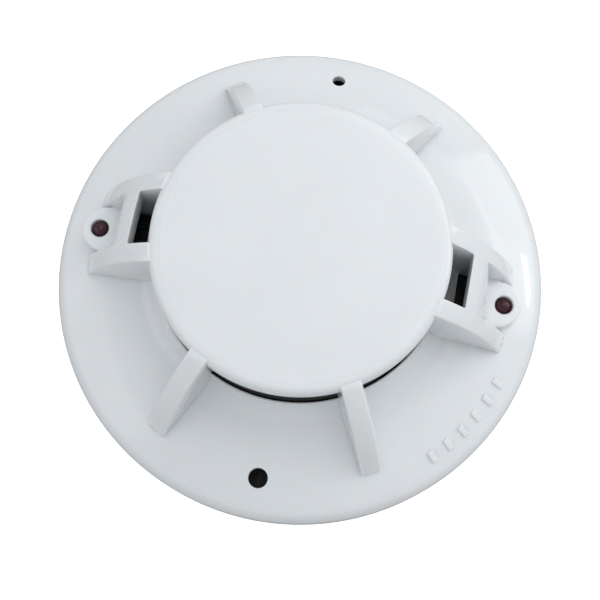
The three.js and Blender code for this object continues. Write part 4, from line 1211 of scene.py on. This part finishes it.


# %% [markdown]
# All the plastics are one recipe: the skin group clouds the colour and the gloss, inner corners
# are darkened with painted shade, edges are rubbed, and dust lies on top. The white head is glossy
# and slightly cool, with a dome that is rougher, and lets a little light through. The back parts
# are satin and greyer, and the black cage is matt with a coarse grain.

# %% Plastics
def plastic(name, light, dark, gloss_range, peel_depth, dust=0.4, dust_colour=rgb(0.42, 0.4, 0.37),
            corner_shade=rgb(0.3, 0.29, 0.27), corner_shade_share=0.35, glow=None, crown=0, **skin):
    material, tree, shader = new_material(name, IOR=1.53, **(glow or {}))
    skin_values = use(tree, skin_group, **skin)
    wear = use(tree, edge_group)
    dusty = use(tree, dust_group, Amount=dust)["Mask"]
    colour = blend(tree, skin_values["Cloud"], dark, light)
    # Inner corners are darkened towards the corner colour: painted shade.
    corner = math(tree, "MULTIPLY", wear["Corner"], corner_shade_share)
    colour = blend(tree, corner, colour, corner_shade)
    colour = blend(tree, dusty, colour, dust_colour)
    rough = ramp(tree, skin_values["Gloss"], 0, 1, *gloss_range)
    rubbed = math(tree, "MULTIPLY", wear["Edge"], 0.25)
    rough = math(tree, "SUBTRACT", rough, math(tree, "MULTIPLY", rough, rubbed))
    rough = math(tree, "ADD", rough, math(tree, "MULTIPLY", dusty, 0.4), True)
    if crown:
        textured = use(tree, crown_group)["Mask"]
        rough = math(tree, "ADD", rough, math(tree, "MULTIPLY", textured, crown), True)
    feed(tree, shader, skin_values["Height"], peel_depth, Base_Color=colour, Roughness=rough)
    return material


TRANSLUCENT = {"Subsurface_Weight": 0.35, "Subsurface_Scale": 0.0015,
               "Subsurface_Radius": (1.0, 0.72, 0.65)}
# The colour each plastic is given for its inner corners is painted shade.
finishes = {
    "white_plastic": plastic("gloss white moulding", rgb(0.80, 0.825, 0.84), rgb(0.775, 0.8, 0.815),
                             (0.08, 0.13), 0.000004, dust=0.12, corner_shade=rgb(0.42, 0.4, 0.39),
                             corner_shade_share=0.2, glow=TRANSLUCENT, crown=0.34, Grain_Share=0.02),
    "back_plastic": plastic("satin back moulding", rgb(0.74, 0.765, 0.765), rgb(0.69, 0.715, 0.715),
                            (0.38, 0.52), 0.00003, dust=0.3, Peel_Scale=900.0, Grain_Share=0.5),
    "black_plastic": plastic("matt black moulding", rgb(0.014, 0.014, 0.015), rgb(0.009, 0.009, 0.01),
                             (0.5, 0.7), 0.00005, dust=0.25, dust_colour=rgb(0.09, 0.088, 0.085),
                             corner_shade=rgb(0.03, 0.029, 0.028), Peel_Scale=2200.0, Grain_Share=0.8),
    "black_epoxy": plastic("black epoxy package", rgb(0.03, 0.03, 0.033), rgb(0.02, 0.02, 0.023),
                           (0.4, 0.55), 0.00003, dust=0.3, dust_colour=rgb(0.12, 0.12, 0.115),
                           corner_shade=rgb(0.05, 0.05, 0.05), Peel_Scale=3000.0, Grain_Share=0.8),
    "rubber_seal": plastic("dark soft rubber", rgb(0.034, 0.034, 0.036), rgb(0.022, 0.022, 0.024),
                           (0.65, 0.85), 0.00004, dust=0.6, dust_colour=rgb(0.16, 0.155, 0.15),
                           corner_shade=rgb(0.08, 0.078, 0.075), Peel_Scale=1600.0, Grain_Share=0.6),
    "capacitor_sleeve": plastic("blue shrunk sleeve", rgb(0.032, 0.045, 0.14), rgb(0.024, 0.034, 0.11),
                                (0.2, 0.34), 0.00002, dust=0.3, dust_colour=rgb(0.2, 0.2, 0.22),
                                corner_shade=rgb(0.05, 0.05, 0.07), Peel_Scale=1300.0, Grain_Share=0.2),
    "sensor_bead": plastic("dipped brown bead", rgb(0.24, 0.1, 0.035), rgb(0.16, 0.062, 0.02),
                           (0.12, 0.25), 0.00004, dust=0.2, Peel_Scale=1500.0, Grain_Share=0.1),
}
print("plastics:", list(finishes))

# %% [markdown]
# The lamps are unlit, so the clear red epoxy looks almost black. A painted red glow is added to
# its colour where it is seen at a grazing angle, for light showing through the clear rim. A low
# roughness gives the polish, and a slow noise stands for dye that is denser in places.

# %% Lamp epoxy
lamp_material, tree, shader = new_material("dark red lamp epoxy", IOR=1.45)
lamp_skin = use(tree, skin_group, Cloud_Scale=700.0, Gloss_Scale=900.0, Peel_Scale=700.0,
                Grain_Share=0.02)
lamp_colour = blend(tree, lamp_skin["Cloud"], rgb(0.024, 0.0012, 0.007), rgb(0.045, 0.002, 0.013))
# A painted red glow at grazing angles, mixed into the base colour.
painted_rim_glow = add(tree, "ShaderNodeLayerWeight", {"Blend": 0.35}).outputs["Facing"]
lamp_colour = blend(tree, math(tree, "MULTIPLY", painted_rim_glow, 0.4), lamp_colour, rgb(0.09, 0.008, 0.016))
lamp_dust = use(tree, dust_group, Amount=0.15)["Mask"]
lamp_colour = blend(tree, lamp_dust, lamp_colour, rgb(0.2, 0.15, 0.15))
feed(tree, shader, lamp_skin["Height"], 0.000004, Base_Color=lamp_colour,
     Roughness=ramp(tree, lamp_skin["Gloss"], 0, 1, 0.03, 0.07))
finishes["lamp_red"] = lamp_material

# %% [markdown]
# The metals share the worked-metal group. Tin is soft and pale, zinc is cooler with darker
# spots, the woven screen is grey steel, and the brass tracks carry brown spots of tarnish.

# %% Metals
def metal(name, bright, dull, spot_colour, gloss_range, line_depth, **values):
    material, tree, shader = new_material(name)
    surface = use(tree, metal_group, **values)
    wear = use(tree, edge_group)
    colour = blend(tree, surface["Cloud"], dull, bright)
    colour = blend(tree, surface["Spot"], colour, spot_colour)
    colour = blend(tree, math(tree, "MULTIPLY", wear["Corner"], 0.5), colour, spot_colour)
    rough = ramp(tree, surface["Line"], 0.3, 0.7, *gloss_range)
    rough = math(tree, "ADD", rough, math(tree, "MULTIPLY", surface["Spot"], 0.3), True)
    metallic = ramp(tree, surface["Spot"], 0, 1, 1.0, 0.6)
    feed(tree, shader, surface["Line"], line_depth, Base_Color=colour, Roughness=rough,
         Metallic=metallic)
    return material


finishes.update({
    "tinned_metal": metal("tin plate", rgb(0.66, 0.665, 0.67), rgb(0.52, 0.525, 0.535),
                          rgb(0.25, 0.25, 0.26), (0.2, 0.4), 0.000008, Spots=0.3),
    "zinc_steel": metal("zinc plate", rgb(0.56, 0.575, 0.6), rgb(0.42, 0.435, 0.46),
                        rgb(0.2, 0.2, 0.21), (0.24, 0.45), 0.00001, Spots=0.5),
    "screen_mesh": metal("woven steel wire", rgb(0.45, 0.45, 0.46), rgb(0.33, 0.33, 0.34),
                         rgb(0.14, 0.13, 0.13), (0.3, 0.5), 0.000004, Spots=0.4),
    "brass_plate": metal("rolled brass", rgb(0.72, 0.5, 0.2), rgb(0.56, 0.38, 0.15),
                         rgb(0.2, 0.12, 0.05), (0.2, 0.42), 0.00001, Spots=0.6),
})
print("finishes so far:", len(finishes))

# %% [markdown]
# The circuit board is glass laminate under green solder resist. Copper tracks show through the
# resist as paler bands. They could be an image, but a grid of rounded cells from a Voronoi
# texture gives the same maze of straight runs and islands with no picture at all.

# %% Circuit board
board_material, tree, shader = new_material("green board laminate", IOR=1.5)
board_skin = use(tree, skin_group, Peel_Scale=1500.0, Grain_Share=0.2)
place = add(tree, "ShaderNodeTexCoord").outputs["Object"]
cells = add(tree, "ShaderNodeTexVoronoi", {"Vector": place, "Scale": 330.0, "Randomness": 0.55},
            distance="CHEBYCHEV", feature="F1").outputs["Distance"]
pads = ramp(tree, cells, 0.16, 0.19, 1.0, 0.0)
runs = add(tree, "ShaderNodeTexVoronoi", {"Vector": place, "Scale": 240.0, "Randomness": 0.35},
           distance="MANHATTAN", feature="F1").outputs["Distance"]
off_track = math(tree, "ABSOLUTE", math(tree, "SUBTRACT", runs, 0.62), 0.0)
track_edge = ramp(tree, off_track, 0.03, 0.06, 1.0, 0.0)
green = blend(tree, board_skin["Cloud"], rgb(0.014, 0.11, 0.045), rgb(0.02, 0.14, 0.06))
green = blend(tree, track_edge, green, rgb(0.04, 0.24, 0.1))
green = blend(tree, pads, green, rgb(0.5, 0.5, 0.5))
height = math(tree, "ADD", math(tree, "MULTIPLY", track_edge, 0.7), pads)
feed(tree, shader, height, 0.00003, Base_Color=green,
     Roughness=ramp(tree, board_skin["Gloss"], 0, 1, 0.25, 0.4),
     Metallic=math(tree, "MULTIPLY", pads, 0.9))
finishes["board_laminate"] = board_material

# %% [markdown]
# The reed switch is a thin glass tube. Glass keeps its plain metallic and transmission values on
# the shader, and only the tint and a very light ripple of the drawn tube vary.

# %% Glass tube
glass_material, tree, shader = new_material("greenish glass tube", IOR=1.5, Transmission_Weight=0.85)
glass_skin = use(tree, skin_group, Cloud_Scale=300.0, Peel_Scale=900.0, Grain_Share=0.0)
feed(tree, shader, glass_skin["Height"], 0.000003,
     Base_Color=blend(tree, glass_skin["Cloud"], rgb(0.6, 0.74, 0.64), rgb(0.72, 0.84, 0.75)),
     Roughness=ramp(tree, glass_skin["Gloss"], 0, 1, 0.03, 0.1))
finishes["glass_tube"] = glass_material

# %% [markdown]
# Every piece takes the finish of its slot: the new pieces by the slot they were given, and the
# CAD nodes that stay by the slot their own material was named for. A CAD node's mesh is left
# alone, and only its object's material slot is assigned.

# %% Giving out the finishes
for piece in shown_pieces():
    if "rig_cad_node" in piece:
        cad_slot = piece.material_slots[0]
        cad_slot.material = finishes[cad_slot.material.name.split(".")[0]]
    else:
        piece.data.materials.clear()
        piece.data.materials.append(finishes[piece["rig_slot"]])

# %% [markdown]
# The detector lies on a plain pale floor that glows, as a light table does, so that hardly any
# shadow shows round it. Only the camera sees the glow, so it doesn't light the detector.

# %% Floor
FLOOR_GLOW = 0.9
FLOOR_SHADES = (0.43, 0.47)
clear_selection()
bpy.ops.mesh.primitive_plane_add(size=4, location=(0, 0, 0))
floor = named("floor")
floor_material, tree, shader = new_material("pale floor", Roughness=0.8)
tree.links.new(ramp(tree, noise(tree, 3.0, 2), 0.3, 0.7, *FLOOR_SHADES), shader.inputs["Base Color"])
shader.inputs["Emission Color"].default_value = rgb(1, 1, 1)
seen = add(tree, "ShaderNodeLightPath").outputs["Is Camera Ray"]
tree.links.new(math(tree, "MULTIPLY", seen, FLOOR_GLOW), shader.inputs["Emission Strength"])
floor.data.materials.append(floor_material)

# %% [markdown]
# One large soft lamp stands high on the right towards the back. Two weaker ones and an even pale
# surround fill the rest, so the moulding is bright all over and a little darker at the front. A
# narrow strip low on the right draws the line on the flange. A helper turns each lamp to face
# the middle of the object.

# %% Light
# Azimuth and elevation in degrees, then distance, width and height in metres, then watts.
LAMPS = {
    "key": (60, 58, 1.1, 0.9, 0.9, 2.4),
    "left fill": (200, 30, 1.0, 0.8, 0.5, 0.67),
    "right fill": (35, 25, 1.0, 0.8, 0.5, 1.9),
    "strip": (24, 21.5, 0.7, 0.135, 0.025, 0.12),
}
SURROUND = (0.955, 0.975, 1)
HORIZON = 0.64
ZENITH = 0.76


def soft_lamp(name, azimuth, elevation, distance, width, height, energy):
    lamp = bpy.data.objects.new(name, bpy.data.lights.new(name, "AREA"))
    lamp.data.shape = "RECTANGLE"
    lamp.data.size, lamp.data.size_y = width, height
    lamp.data.energy = energy
    flat = distance * cos(radians(elevation))
    at = Vector((*polar(flat, azimuth), distance * sin(radians(elevation))))
    lamp.matrix_world = Matrix.Translation(at) @ at.to_track_quat("Z", "Y").to_matrix().to_4x4()
    scene.collection.objects.link(lamp)


for name, place in LAMPS.items():
    soft_lamp(name, *place)
world = bpy.data.worlds.new("surround")
world.use_nodes = True
tree = world.node_tree
background = tree.nodes["Background"]
background.inputs["Color"].default_value = rgb(*SURROUND)
height = add(tree, "ShaderNodeSeparateXYZ",
             {0: add(tree, "ShaderNodeTexCoord").outputs["Generated"]}).outputs["Z"]
tree.links.new(ramp(tree, height, 0, 0.9, HORIZON, ZENITH), background.inputs["Strength"])
scene.world = world
scene.view_settings.view_transform = "Standard"
